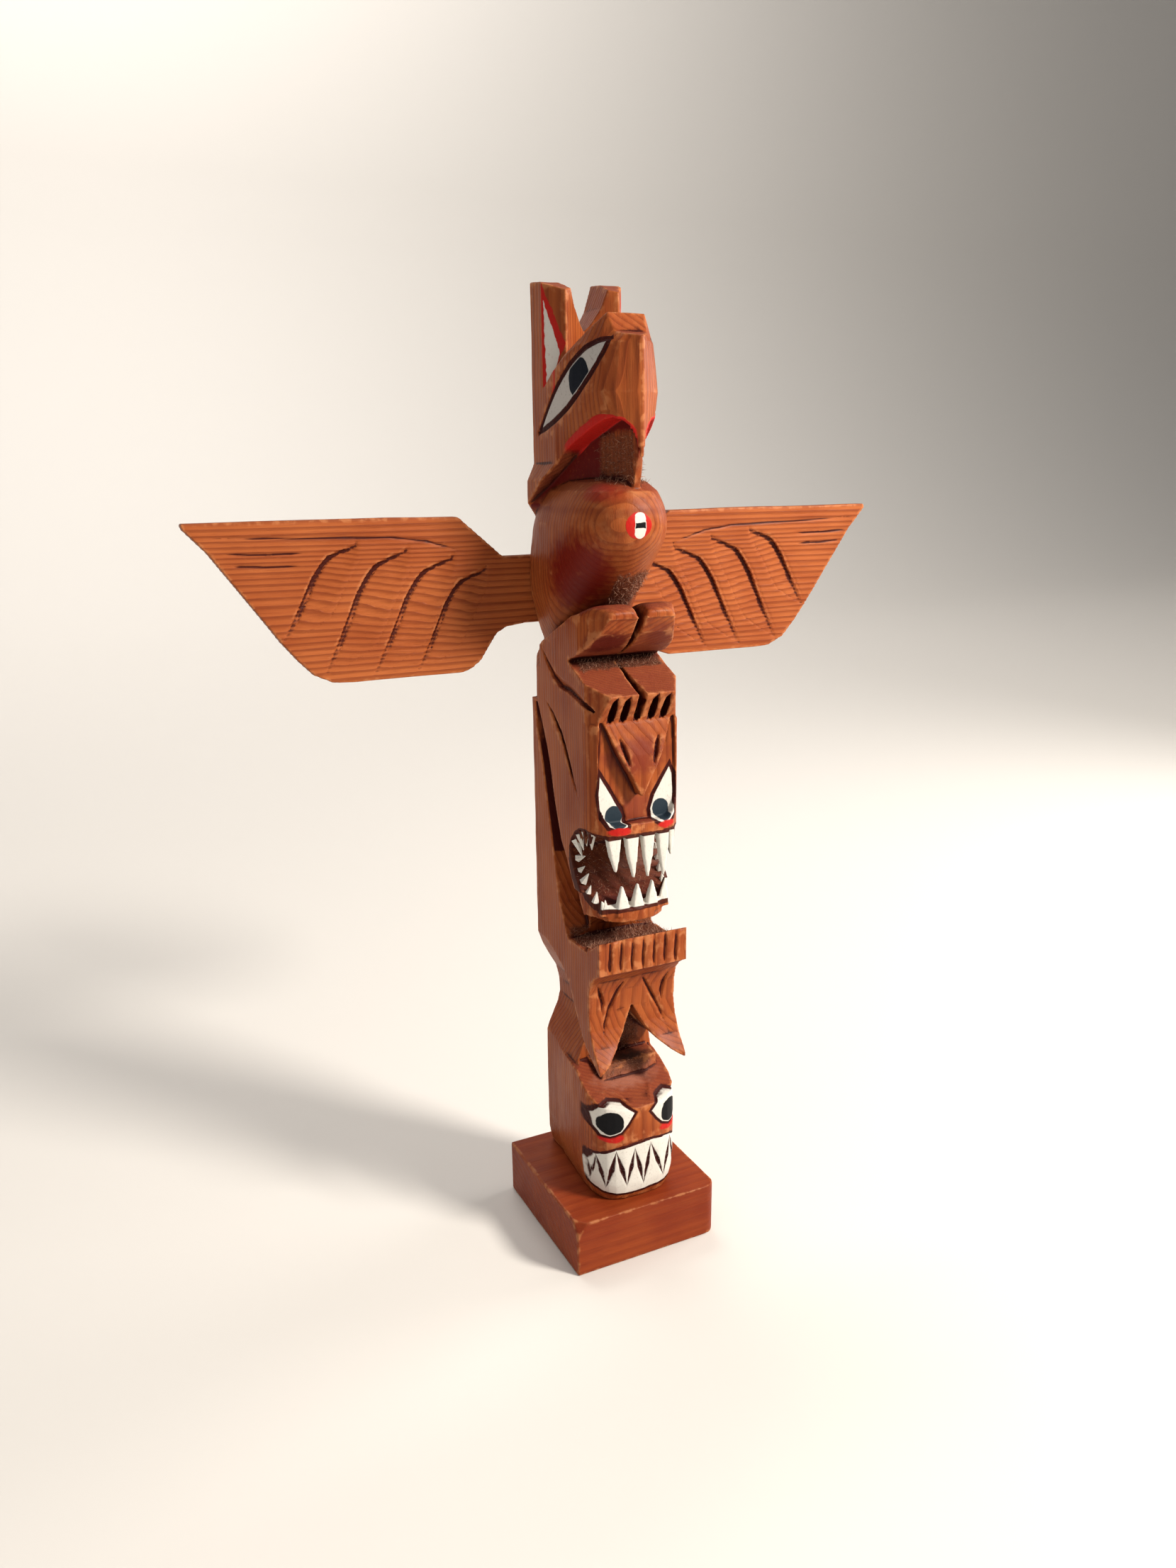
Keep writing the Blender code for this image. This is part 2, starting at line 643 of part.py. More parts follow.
def waist_scoop(forms, label, side):
    """The rounded hollow that narrows the stick behind the flukes."""
    profile = (
        (99.4, 0.0), (94.8, 0.21), (90.1, 0.53), (86.1, 0.83), (81.4, 0.97), (76.0, 1.0), (72.1, 0.88),
        (67.8, 0.64), (64.4, 0.44), (60.4, 0.27),
    )
    depth = WAIST_DEPTH[label]
    scoop = [(HALF + OVER, 101.4)] + [(HALF - depth * share, z) for z, share in profile]
    scoop.append((HALF + OVER, 57.4))
    form = forms.along_y("waist_scoop_" + label, mirrored(scoop, side), -16.0, BACK + OVER)
    behind = [
        (BACK + OVER + 1.0, 104.0), (8.4, 96.6), (3.0, 93.4), (-2.0, 89.4), (-4.4, 85.4), (-7.2, 80.0),
        (-10.6, 75.0), (-13.8, 71.4), (-17.2, 62.0), (-17.2, 55.0), (BACK + OVER + 1.0, 55.0),
    ]
    boolean(form, forms.along_x("behind_flukes_" + label, behind), "INTERSECT")
    return form


MASK_HALF = 15.7
MASK_SIDE_Y = -9.0
MASK_FRONT_DEPTH = 14.4
MASK_SQUARE_X = 0.58
MASK_SQUARE_Y = 0.78
MASK_TEETH = (
    (-15.4, 32.0), (-14.8, 26.0), (-14.3, 35.6), (-12.0, 23.9), (-9.4, 37.8), (-5.7, 24.3), (-3.0, 37.9),
    (0.4, 23.8), (2.8, 38.5), (8.2, 24.1), (10.9, 37.9), (14.0, 24.8), (15.2, 34.4),
)


def mask_block(forms):
    """The lowest head: flat behind, and rounded in front in plan."""
    back_half = 12.9
    steps = 7
    rows = (
        (PATTERN_FOOT, 0.86, -21.6), (21.0, 0.90, -22.5), (25.0, 0.955, -23.2), (31.0, 0.99, -23.5),
        (40.0, 1.0, -23.5), (50.0, 1.0, -23.3), (56.0, 0.985, -22.4), (69.6, 0.93, -19.0),
    )
    sections = []
    for z, share, front in rows:
        half = [
            (back_half * min(1.0, share + 0.04), BACK), (13.5 * share, 14.0), (15.3 * share, -2.0),
            (MASK_HALF * share, MASK_SIDE_Y),
        ]
        for i in range(1, steps + 1):
            angle = math.pi / 2 * i / steps
            x = MASK_HALF * share * math.cos(angle) ** MASK_SQUARE_X
            y = MASK_SIDE_Y + (front - MASK_SIDE_Y) * math.sin(angle) ** MASK_SQUARE_Y
            half.append((x, y))
        ring = half + [(-x, y) for x, y in reversed(half[:-1])]
        sections.append([(x, y, z) for x, y in ring])
    return forms.skin("mask_block", sections)


def mask_cuts(forms, block):
    """The sloping crown, the eye hollows and the zigzag between the teeth."""
    crown = [
        (BACK + OVER, 76.0), (14.9, 69.2), (2.0, 63.4), (-13.7, 55.6), (-19.0, 53.4), (-30.0, 50.0),
        (-30.0, 80.0), (BACK + OVER, 80.0),
    ]
    boolean(block, forms.along_x("crown", crown), "DIFFERENCE")
    cuts = []
    for i, (start, end) in enumerate(zip(MASK_TEETH, MASK_TEETH[1:])):
        spine = []
        for share in (0.0, 0.33, 0.67, 1.0):
            x = start[0] + (end[0] - start[0]) * share
            z = start[1] + (end[1] - start[1]) * share
            spine.append(mask_front(x, z))
        middle = mask_turn((start[0] + end[0]) / 2, (start[1] + end[1]) / 2)
        out = (math.sin(middle), -math.cos(middle), 0.0)
        cuts.append(forms.gouge("tooth_gap_%d" % i, spine, 1.3, 1.1, out))
    return cuts


def mask_share(z):
    """The width of the mask at a height, as a share of its full width."""
    return 1.0 if z > 30.0 else 0.93 + 0.07 * (z - 20.0) / 10.0


def mask_turn(x, z):
    """How far a place on the mask's rounded front is turned from the middle."""
    ratio = min(1.0, abs(x) / (MASK_HALF * mask_share(z)))
    return math.copysign(math.asin(ratio ** (1.0 / MASK_SQUARE_X)), x)


def mask_front(x, z):
    """The point on the mask's rounded front above a place across it."""
    y = MASK_SIDE_Y - MASK_FRONT_DEPTH * mask_share(z) * math.cos(mask_turn(x, z)) ** MASK_SQUARE_Y
    return (x, y, z)


def make_pole(parts, cutters):
    """Carve the whole pole out of its joined blocks."""
    forms = Shapes(cutters)
    pole = bird_head(forms)
    cutters.objects.unlink(pole)
    parts.objects.link(pole)
    pole.name = "carved_pole"
    boolean(pole, horns(forms), "UNION")
    boolean(pole, jaw(forms), "UNION")
    carve(pole, horn_cuts(forms) + [beak_arch(forms)])
    for block in (throat(forms), belly(forms)):
        boolean(pole, block, "UNION")
    behind = both_sides([(HALF + OVER, BACK), (HALF + OVER, BACK + BELLY_OVERRUN)])
    carve(pole, [forms.along_z("belly_back", behind, 180.0, 262.0)])

    stick = lower_stick(forms)
    carve(stick, leg_cuts(forms) + claw_cuts(forms) + wolf_cuts(forms) + jaw_cuts(forms))
    for fang in wolf_teeth(forms):
        boolean(stick, fang, "UNION")
    neck = [(-10.4, BACK), (-10.4, 4.0), (-8.0, -10.6), (8.0, -10.6), (12.4, -9.4), (13.2, 4.0), (13.2, BACK)]
    boolean(stick, forms.along_z("mask_neck", neck, 50.0, 66.0), "UNION")
    mask = mask_block(forms)
    gaps = mask_cuts(forms, mask)
    boolean(stick, mask, "UNION")
    carve(stick, band_cuts(forms) + gaps)
    boolean(pole, stick, "UNION")
    pole.data.materials.append(stained_wood("pole_stain", POLE_STAIN, 0.45))
    return pole


FEATHER_ROOTS = ((67.8, 232.2), (52.2, 230.7), (37.8, 227.9), (27.5, 223.6))
FEATHER_TIPS = ((92.4, 203.0), (81.2, 191.7), (66.2, 190.8), (52.4, 190.9))
FEATHER_STEEP = (
    (0.0, 0.0), (0.07, 0.06), (0.2, 0.10), (0.39, 0.16), (0.48, 0.24), (0.59, 0.37), (0.72, 0.59),
    (0.85, 0.78), (1.0, 1.0),
)
FEATHER_SHALLOW = (
    (0.0, 0.0), (0.02, 0.10), (0.07, 0.22), (0.18, 0.36), (0.28, 0.49), (0.36, 0.62), (0.47, 0.76),
    (0.72, 0.88), (1.0, 1.0),
)
WING_HALF = (
    (37.0, 237.6), (60.0, 237.9), (117.5, 237.9), (117.2, 236.4), (111.0, 229.6), (92.5, 203.2),
    (88.0, 197.6), (83.5, 192.9), (78.0, 190.3), (72.0, 189.9), (60.0, 190.0),
    (37.6, 190.0), (34.4, 190.9), (31.0, 193.4), (27.6, 198.4), (25.4, 201.6), (22.0, 203.4),
)
PATTERN_HALF_SPAN = max(x for x, z in WING_HALF)
PATTERN_WING_TOP = 238.0
PATTERN_CHORD = 48.0
EDGE_CLEAR = 0.25
ABOVE = -1.0 * MM
NECK_MIDDLE = 214.7


def wing_place(x, y, z):
    """Lay out wing pattern millimetres on the board.

    Heights are measured down from the top edge, and x is a share of the span.
    """
    top = FOOT_HEIGHT + WING_TOP_SHARE * STICK_LENGTH
    half_span = WING_SPAN / 2
    return Vector((
        WING_SHIFT + x / PATTERN_HALF_SPAN * half_span,
        BACK_FACE + GLUE_GAP + y,
        top + (z - PATTERN_WING_TOP) / PATTERN_CHORD * WING_CHORD,
    ))


def make_wings(parts, cutters):
    """Saw the waisted wing board and gouge four feathers in each wing."""
    neck = WING_NECK / 2 / WING_CHORD * PATTERN_CHORD
    half = [(0.0, NECK_MIDDLE + neck), (22.6, NECK_MIDDLE + neck)]
    half += WING_HALF
    half += [(16.0, NECK_MIDDLE - neck), (0.0, NECK_MIDDLE - neck)]
    outline = half + [(-x, z) for x, z in reversed(half) if x > 0]
    board = prism("wing_board", outline, 0.0, WING_THICKNESS, "Y", wing_place, parts)
    for label, side in SIDES:
        for i, (root, tip) in enumerate(zip(FEATHER_ROOTS, FEATHER_TIPS)):
            sections = []
            last = len(FEATHER_STEEP) - 1
            for k, (steep, shallow) in enumerate(zip(FEATHER_STEEP, FEATHER_SHALLOW)):
                swell = max(math.sin(math.pi * (k + 0.2) / (last + 0.4)), 0.1)
                ring = []
                depth = FEATHER_DEPTH * swell
                for (u, v), sink in ((steep, ABOVE), (steep, depth), (shallow, 0.0), (shallow, ABOVE)):
                    clear = EDGE_CLEAR if (u, v) == steep else -EDGE_CLEAR
                    x = root[0] + u * (tip[0] - root[0]) + clear
                    z = root[1] + v * (tip[1] - root[1])
                    ring.append((side * x, sink, z))
                sections.append(ring)
            carve(board, [loft("feather_%s_%d" % (label, i), sections, wing_place, cutters)])
    board.data.materials.append(stained_wood("wing_stain", WING_STAIN, 0.5))
    return board


def make_base(parts, cutters):
    """Cut the base block, round one corner and chip the corner beside it."""
    width, depth, rounding = BASE_WIDTH / 2 / MM, BASE_DEPTH / 2 / MM, BASE_ROUND / MM
    outline = [(width, depth), (-width, depth), (-width, -depth)]
    for i in range(BASE_ROUND_STEPS + 1):
        angle = math.pi / 2 * i / BASE_ROUND_STEPS
        x = width - rounding * (1.0 - math.sin(angle))
        y = -depth + rounding * (1.0 - math.cos(angle))
        outline.append((x, y))
    block = prism("base_block", outline, 0.0, BASE_HEIGHT / MM, "Z", in_millimetres, parts)
    soften = block.modifiers.new("Soft edges", "BEVEL")
    soften.width = BASE_EDGE
    soften.segments = 3
    soften.limit_method = "ANGLE"

    chip_mesh = bpy.data.meshes.new("corner_chip")
    work = bmesh.new()
    bmesh.ops.create_cube(work, size=BASE_CHIP_BLOCK)
    away = Vector((-1.0, -1.0, 0.8)).normalized()
    turn = away.to_track_quat("X", "Z").to_matrix().to_4x4()
    bmesh.ops.transform(work, matrix=turn, verts=work.verts)
    work.to_mesh(chip_mesh)
    work.free()
    chip = new_piece("corner_chip", chip_mesh, cutters)
    corner = Vector((-BASE_WIDTH / 2, -BASE_DEPTH / 2, BASE_HEIGHT))
    chip.location = corner + away * (BASE_CHIP_BLOCK / 2 - BASE_CHIP)
    carve(block, [chip])
    block.data.materials.append(stained_wood("base_stain", BASE_STAIN, 0.5))
    return block


def main():
    """Build the three pieces."""
    clear_scene()
    parts = new_collection("totem_pole")
    cutters = new_collection("cutters")
    make_pole(parts, cutters)
    make_wings(parts, cutters)
    make_base(parts, cutters)


main()
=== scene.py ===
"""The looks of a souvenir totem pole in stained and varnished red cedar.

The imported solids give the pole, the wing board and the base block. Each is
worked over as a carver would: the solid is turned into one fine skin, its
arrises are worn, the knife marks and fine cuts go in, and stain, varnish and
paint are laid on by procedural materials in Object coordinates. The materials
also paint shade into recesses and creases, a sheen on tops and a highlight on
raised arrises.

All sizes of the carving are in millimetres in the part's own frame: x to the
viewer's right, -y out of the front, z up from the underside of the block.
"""

from __future__ import annotations

import json
import logging
import math
from dataclasses import dataclass
from enum import Enum
from typing import Sequence

import bmesh
import bpy
import numpy as np
from mathutils import Matrix, Vector
from mathutils.bvhtree import BVHTree

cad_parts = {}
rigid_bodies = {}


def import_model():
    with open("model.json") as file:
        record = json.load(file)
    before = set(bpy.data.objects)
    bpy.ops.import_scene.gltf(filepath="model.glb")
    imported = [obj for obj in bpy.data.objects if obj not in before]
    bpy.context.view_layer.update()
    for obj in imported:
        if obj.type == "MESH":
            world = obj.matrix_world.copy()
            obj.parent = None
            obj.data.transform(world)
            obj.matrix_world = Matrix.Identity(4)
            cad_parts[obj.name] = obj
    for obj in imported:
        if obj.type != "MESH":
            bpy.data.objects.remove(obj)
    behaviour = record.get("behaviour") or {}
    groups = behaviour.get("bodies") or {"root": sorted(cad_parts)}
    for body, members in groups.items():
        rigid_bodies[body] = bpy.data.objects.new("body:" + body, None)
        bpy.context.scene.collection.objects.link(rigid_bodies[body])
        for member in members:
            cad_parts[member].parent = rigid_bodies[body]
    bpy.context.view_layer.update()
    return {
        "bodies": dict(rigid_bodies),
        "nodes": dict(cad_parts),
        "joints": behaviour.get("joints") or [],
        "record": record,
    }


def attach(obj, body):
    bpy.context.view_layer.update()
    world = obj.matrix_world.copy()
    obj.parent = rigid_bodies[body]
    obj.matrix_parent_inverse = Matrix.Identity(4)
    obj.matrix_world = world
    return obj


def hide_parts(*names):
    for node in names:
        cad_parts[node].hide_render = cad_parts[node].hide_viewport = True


MM = 0.001
BODY = "root"

WELD = 1e-6
RAY_LIFT = 0.00025
HOLLOW_DEPTH = 0.16
WEAR_AND_HIGHLIGHT_HEIGHT = 0.13
EASE_PASSES = 70

Colour = tuple[float, float, float, float]
Point = tuple[float, float]
Spot = tuple[float, float, float]

log = logging.getLogger("totem_pole")


class Grain(Enum):
    """The way the grain of a board runs."""

    UPRIGHT = "upright"
    ACROSS = "across"


class Plane(Enum):
    """The flat view in which a line is drawn."""

    FRONT = (0, 2)
    SIDE = (1, 2)


class Value:
    """A number that varies over a surface: one socket with arithmetic."""

    def __init__(self, bench: Bench, socket: bpy.types.NodeSocket) -> None:
        """Wrap a socket of the bench's tree."""
        self.bench = bench
        self.socket = socket

    def __add__(self, other: Value | float) -> Value:
        """Sum."""
        return self.bench.maths("ADD", self, other)

    def __radd__(self, other: float) -> Value:
        """Sum with a plain number first."""
        return self.bench.maths("ADD", other, self)

    def __sub__(self, other: Value | float) -> Value:
        """Difference."""
        return self.bench.maths("SUBTRACT", self, other)

    def __rsub__(self, other: float) -> Value:
        """Difference with a plain number first."""
        return self.bench.maths("SUBTRACT", other, self)

    def __mul__(self, other: Value | float) -> Value:
        """Product."""
        return self.bench.maths("MULTIPLY", self, other)

    def __rmul__(self, other: float) -> Value:
        """Product with a plain number first."""
        return self.bench.maths("MULTIPLY", other, self)

    def __truediv__(self, other: Value | float) -> Value:
        """Quotient."""
        return self.bench.maths("DIVIDE", self, other)

    def __pow__(self, other: float) -> Value:
        """Power."""
        return self.bench.maths("POWER", self, other)

    def __abs__(self) -> Value:
        """Size without the sign."""
        return self.bench.maths("ABSOLUTE", self)

    def least(self, other: Value | float) -> Value:
        """The smaller of two."""
        return self.bench.maths("MINIMUM", self, other)

    def most(self, other: Value | float) -> Value:
        """The larger of two."""
        return self.bench.maths("MAXIMUM", self, other)

    def ramp(self, low: float, high: float) -> Value:
        """A smooth rise from 0 at low to 1 at high, or a fall where low is higher."""
        rising = low <= high
        sockets = {0: self, 1: min(low, high), 2: max(low, high), 3: float(not rising), 4: float(rising)}
        made = self.bench.node("ShaderNodeMapRange", {"interpolation_type": "SMOOTHSTEP"}, sockets)
        return Value(self.bench, made.outputs[0])


class Bench:
    """Lays out the nodes of one tree."""

    def __init__(self, tree: bpy.types.NodeTree) -> None:
        """Work on the given tree."""
        self.tree = tree

    def node(self, kind: str, settings: dict | None = None, sockets: dict | None = None) -> bpy.types.Node:
        """Add one node.

        Args:
            kind: The node's type.
            settings: Its own settings, or the stops of its ramp.
            sockets: Values or links of its inputs, by name or number.

        Returns:
            The new node.
        """
        made = self.tree.nodes.new(kind)
        for name, value in (settings or {}).items():
            if name == "stops":
                for i, (place, colour) in enumerate(value):
                    stop = made.color_ramp.elements[i] if i < 2 else made.color_ramp.elements.new(place)
                    stop.position = place
                    stop.color = colour
            else:
                setattr(made, name, value)
        for key, value in (sockets or {}).items():
            self.feed(made.inputs[key], value)
        return made

    def feed(self, socket: bpy.types.NodeSocket, value: object) -> None:
        """Give an input a link or a plain value."""
        source = value.socket if isinstance(value, Value) else value
        if isinstance(source, bpy.types.NodeSocket):
            self.tree.links.new(source, socket)
        else:
            socket.default_value = source

    def maths(self, operation: str, *values: Value | float) -> Value:
        """One Math node on values or numbers."""
        made = self.node("ShaderNodeMath", {"operation": operation}, dict(enumerate(values)))
        return Value(self, made.outputs[0])

    def mix(self, share: Value | float, under: object, over: object) -> bpy.types.NodeSocket:
        """Blend two colours by a share."""
        made = self.node("ShaderNodeMix", {"data_type": "RGBA"}, {0: share, 6: under, 7: over})
        return made.outputs[2]

    def stretched(self, place: bpy.types.NodeSocket, scale: Spot) -> bpy.types.NodeSocket:
        """A place stretched along each axis."""
        made = self.node("ShaderNodeVectorMath", {"operation": "MULTIPLY"}, {0: place, 1: scale})
        return made.outputs[0]

    def noise(self, place: object, scale: float, detail: float = 2.0, roughness: float = 0.5) -> Value:
        """Soft noise from 0 to 1 at a place."""
        sockets = {"Vector": place, "Scale": scale, "Detail": detail, "Roughness": roughness}
        return Value(self, self.node("ShaderNodeTexNoise", None, sockets).outputs[0])


class Canvas:
    """The places on a piece at which a brush can be aimed, in millimetres."""

    def __init__(self, bench: Bench) -> None:
        """Read the piece's own coordinates and facing."""
        self.bench = bench
        place = bench.node("ShaderNodeTexCoord").outputs["Object"]
        self.place = bench.stretched(place, (1000.0, 1000.0, 1000.0))
        parts = bench.node("ShaderNodeSeparateXYZ", None, {0: self.place})
        self.x, self.y, self.z = (Value(bench, parts.outputs[i]) for i in range(3))
        facing = bench.node("ShaderNodeNewGeometry").outputs["Normal"]
        turned = bench.node("ShaderNodeSeparateXYZ", None, {0: facing})
        self.facing_x, self.facing_y, self.facing_z = (Value(bench, turned.outputs[i]) for i in range(3))
        self.waver = (bench.noise(self.place, 0.45, 2.0) - 0.5) * 0.7

    def attribute(self, name: str) -> Value:
        """A value that was measured on the mesh."""
        made = self.bench.node("ShaderNodeAttribute", {"attribute_name": name})
        return Value(self.bench, made.outputs["Fac"])

    def polygon(self, u: Value, v: Value, corners: Sequence[Point]) -> Value:
        """Distance outside a convex polygon, negative inside it.

        Args:
            u: The first coordinate of the place.
            v: The second coordinate of the place.
            corners: The polygon's corners in either turn.

        Returns:
            The distance in millimetres.
        """
        around = sum(a[0] * b[1] - b[0] * a[1] for a, b in zip(corners, corners[1:] + corners[:1]))
        turn = 1.0 if around > 0 else -1.0
        distance = None
        for a, b in zip(corners, corners[1:] + corners[:1]):
            length = math.dist(a, b)
            out_u, out_v = turn * (b[1] - a[1]) / length, turn * (a[0] - b[0]) / length
            part = self.bench.maths("MULTIPLY_ADD", u, out_u, -(a[0] * out_u + a[1] * out_v))
            side = self.bench.maths("MULTIPLY_ADD", v, out_v, part)
            distance = side if distance is None else distance.most(side)
        return distance

    def oval(self, u: Value, v: Value, middle: Point, radii: Point) -> Value:
        """Distance outside an upright oval, negative inside it."""
        across = (u - middle[0]) * (1.0 / radii[0])
        up = (v - middle[1]) * (1.0 / radii[1])
        return ((across * across + up * up) ** 0.5 - 1.0) * min(radii)

    def brushed(self, distance: Value, edge: float = 0.12) -> Value:
        """Where paint lies, with the wavering edge of a brush."""
        return (distance + self.waver).ramp(edge, -edge)


@dataclass(frozen=True)
class Paint:
    """One pot of paint."""

    colour: Colour
    roughness: float
    cover: float = 1.0


WHITE = Paint((0.66, 0.63, 0.57, 1.0), 0.42, 0.96)
RED = Paint((0.45, 0.014, 0.010, 1.0), 0.45, 0.94)
BLACK = Paint((0.0045, 0.0045, 0.0055, 1.0), 0.55)
NAVY = Paint((0.0035, 0.0060, 0.0130, 1.0), 0.55)
GREY_WHITE = Paint((0.47, 0.44, 0.41, 1.0), 0.50, 0.93)
BLUSH = Paint((0.26, 0.018, 0.009, 1.0), 0.45)
# Painted shade for the walls of cuts and grooves.
CUT_SHADE = Paint((0.050, 0.0055, 0.0040, 1.0), 0.5)
SLATE = Paint((0.020, 0.032, 0.044, 1.0), 0.50)
UNDERCUT = Paint((0.105, 0.0052, 0.0040, 1.0), 0.50, 0.92)
MAROON = Paint((0.036, 0.0040, 0.0032, 1.0), 0.55, 0.94)


@dataclass(frozen=True)
class Patch:
    """A soft patch of colour where the stain lies thicker, thinner or redder; a few patches hold painted
    sheen and painted shade instead.
    """

    middle: Spot
    radii: Spot
    colour: Colour
    share: float

    def strength(self, canvas: Canvas) -> Value:
        """How much of the patch lies at each place."""
        axes = zip((canvas.x, canvas.y, canvas.z), self.middle, self.radii)
        squares = [((value - place) * (1.0 / radius)) ** 2.0 for value, place, radius in axes]
        return (squares[0] + squares[1] + squares[2] + canvas.waver * 1.2).ramp(1.15, 0.25) * self.share


@dataclass(frozen=True)
class Cedar:
    """Red cedar with stain and varnish over it."""

    name: str
    grain: Grain
    ring: float
    heart: Point
    pale: Colour
    middle: Colour
    dark: Colour
    # Painted shade laid into recesses and creases.
    recess: Colour = (0.036, 0.0030, 0.0024, 1.0)
    # Pale tone of raised arrises: partly rubbed wear, partly a painted highlight where light catches them.
    worn: Colour = (0.52, 0.19, 0.070, 1.0)
    # Colour of faces that point up or down: the end grain's own tone, with a painted pinkish sheen on the
    # tops.
    end: Colour = (0.19, 0.038, 0.022, 1.0)
    torn: Colour = (0.040, 0.0095, 0.0060, 1.0)
    fibre: Colour = (0.21, 0.075, 0.040, 1.0)
    varnish: float = 0.03
    varnish_roughness: float = 0.30
    gloss: float = 0.09
    relief: float = 0.85
    contrast: float = 0.42
    patches: tuple[Patch, ...] = ()
    bump: float = 0.00016

    def lay(self, canvas: Canvas) -> Coat:
        """Lay the wood, its stain and its varnish, with painted shade in recesses and creases, a painted
        sheen on tops and wear with a painted highlight on ridges.

        Args:
            canvas: The piece's places.

        Returns:
            The coat on which paint can follow.
        """
        bench = canvas.bench
        along = (1.0, 1.0, 0.045) if self.grain is Grain.UPRIGHT else (0.045, 1.0, 1.0)
        drift = bench.noise(bench.stretched(canvas.place, along), 0.055, 1.0) * 5.0
        if self.grain is Grain.UPRIGHT:
            across, deep = canvas.x - self.heart[0], canvas.y - self.heart[1]
        else:
            across, deep = canvas.z - self.heart[0], canvas.y - self.heart[1]
        rings = ((across * across + deep * deep) ** 0.5 + drift) * (1.0 / self.ring)
        share = bench.maths("FRACT", rings)
        late = share.ramp(0.35, 0.86) * share.ramp(1.0, 0.93)
        fibre = bench.noise(bench.stretched(canvas.place, along), 2.6, 3.0, 0.65)
        streak = bench.noise(bench.stretched(canvas.place, along), 0.45, 2.0)
        blotch = bench.noise(canvas.place, 0.050, 2.0)
        stain = (blotch * 0.65 + streak * 0.45).ramp(0.30, 0.78)

        colour = bench.mix(stain, self.pale, self.middle)
        colour = bench.mix(late * self.contrast, colour, self.dark)
        colour = bench.mix(fibre.ramp(0.52, 0.80) * 0.42, colour, self.dark)
        colour = bench.mix(fibre.ramp(0.44, 0.22) * 0.22, colour, self.pale)
        coat = Coat(canvas, colour, 0.36 + fibre * 0.16 - late * 0.05, late * 0.55 + fibre * 0.75)

        # Faces that point up or down take the end colour: cut end grain, and on the tops a painted sheen.
        if self.grain is Grain.UPRIGHT:
            cut = abs(canvas.facing_z).ramp(0.55, 0.88)
            crumb = bench.noise(canvas.place, 2.2, 4.0, 0.7)
            coat.colour = bench.mix(cut * (0.30 + crumb * 0.55), coat.colour, self.end)
            coat.roughness = coat.roughness + cut * 0.28
            coat.height = coat.height + cut * crumb * 2.2
        for patch in self.patches:
            coat.colour = bench.mix(patch.strength(canvas), coat.colour, patch.colour)
        torn = canvas.attribute("torn")
        speck = bench.noise(canvas.place, 3.2, 3.0, 0.7)
        crumbled = bench.mix(speck.ramp(0.38, 0.62), self.torn, self.fibre)
        coat.colour = bench.mix(torn * 0.9, coat.colour, crumbled)
        coat.roughness = coat.roughness + torn * 0.4
        coat.height = coat.height + torn * speck * 4.0
        # Painted shade: the more of its view a place has blocked, the darker it is painted.
        recess = (canvas.attribute("recess") + (blotch - 0.5) * 0.25).ramp(0.30, 0.80)
        coat.colour = bench.mix(recess * (0.93 - torn * 0.55), coat.colour, self.recess)
        # Painted shade in creases and cuts: places sunk below the evened skin take the recess shade colour.
        hollow = (canvas.attribute("hollow") + (fibre - 0.5) * 0.2).ramp(0.16, 0.60)
        coat.colour = bench.mix(hollow * 0.95, coat.colour, self.recess)
        # Raised places turn pale: partly real wear, partly a painted highlight along lit arrises and ridges.
        rubbed_and_lit = bench.noise(canvas.place, 0.35, 3.0).ramp(0.42, 0.66)
        worn = canvas.attribute("worn") * (0.35 + rubbed_and_lit * 0.65)
        coat.colour = bench.mix(worn.ramp(0.18, 0.9) * 0.62, coat.colour, self.worn)
        return coat


class Coat:
    """What has been laid on a piece so far: its colour, roughness and height."""

    def __init__(
        self, canvas: Canvas, colour: bpy.types.NodeSocket, roughness: Value, height: Value
    ) -> None:
        """Start with the bare coat."""
        self.canvas = canvas
        self.colour = colour
        self.roughness = roughness
        self.height = height
        self.wear = canvas.bench.noise(canvas.place, 1.3, 3.0, 0.6)

    def cover(self, paint: Paint, mask: Value) -> None:
        """Brush one paint where the mask is 1."""
        bench = self.canvas.bench
        thin = 1.0 - (1.0 - paint.cover) * 6.0 * self.wear.ramp(0.55, 0.75)
        share = mask * thin
        self.colour = bench.mix(share, self.colour, paint.colour)
        self.roughness = self.roughness + (paint.roughness - self.roughness) * mask
        self.height = self.height * (1.0 - mask * 0.6) + mask * (0.5 + self.wear * 0.35)


def new_material(name: str) -> tuple[bpy.types.Material, Bench]:
    """Make a material with only its Principled BSDF and a bench for its tree."""
    material = bpy.data.materials.new(name)
    material.use_nodes = True
    return material, Bench(material.node_tree)


def connect(material: bpy.types.Material, coat: Coat, wood: Cedar) -> None:
    """Feed a finished coat to the material's shader."""
    bench = coat.canvas.bench
    shader = material.node_tree.nodes["Principled BSDF"]
    bench.feed(shader.inputs["Base Color"], coat.colour)
    bench.feed(shader.inputs["Roughness"], coat.roughness.least(0.95).most(0.18))
    shader.inputs["Coat Weight"].default_value = wood.varnish
    shader.inputs["Coat Roughness"].default_value = wood.varnish_roughness
    shader.inputs["Specular IOR Level"].default_value = wood.gloss
    relief = bench.node(
        "ShaderNodeBump", None, {"Strength": wood.relief, "Distance": wood.bump, "Height": coat.height}
    )
    bench.feed(shader.inputs["Normal"], relief.outputs[0])
    material.diffuse_color = wood.middle


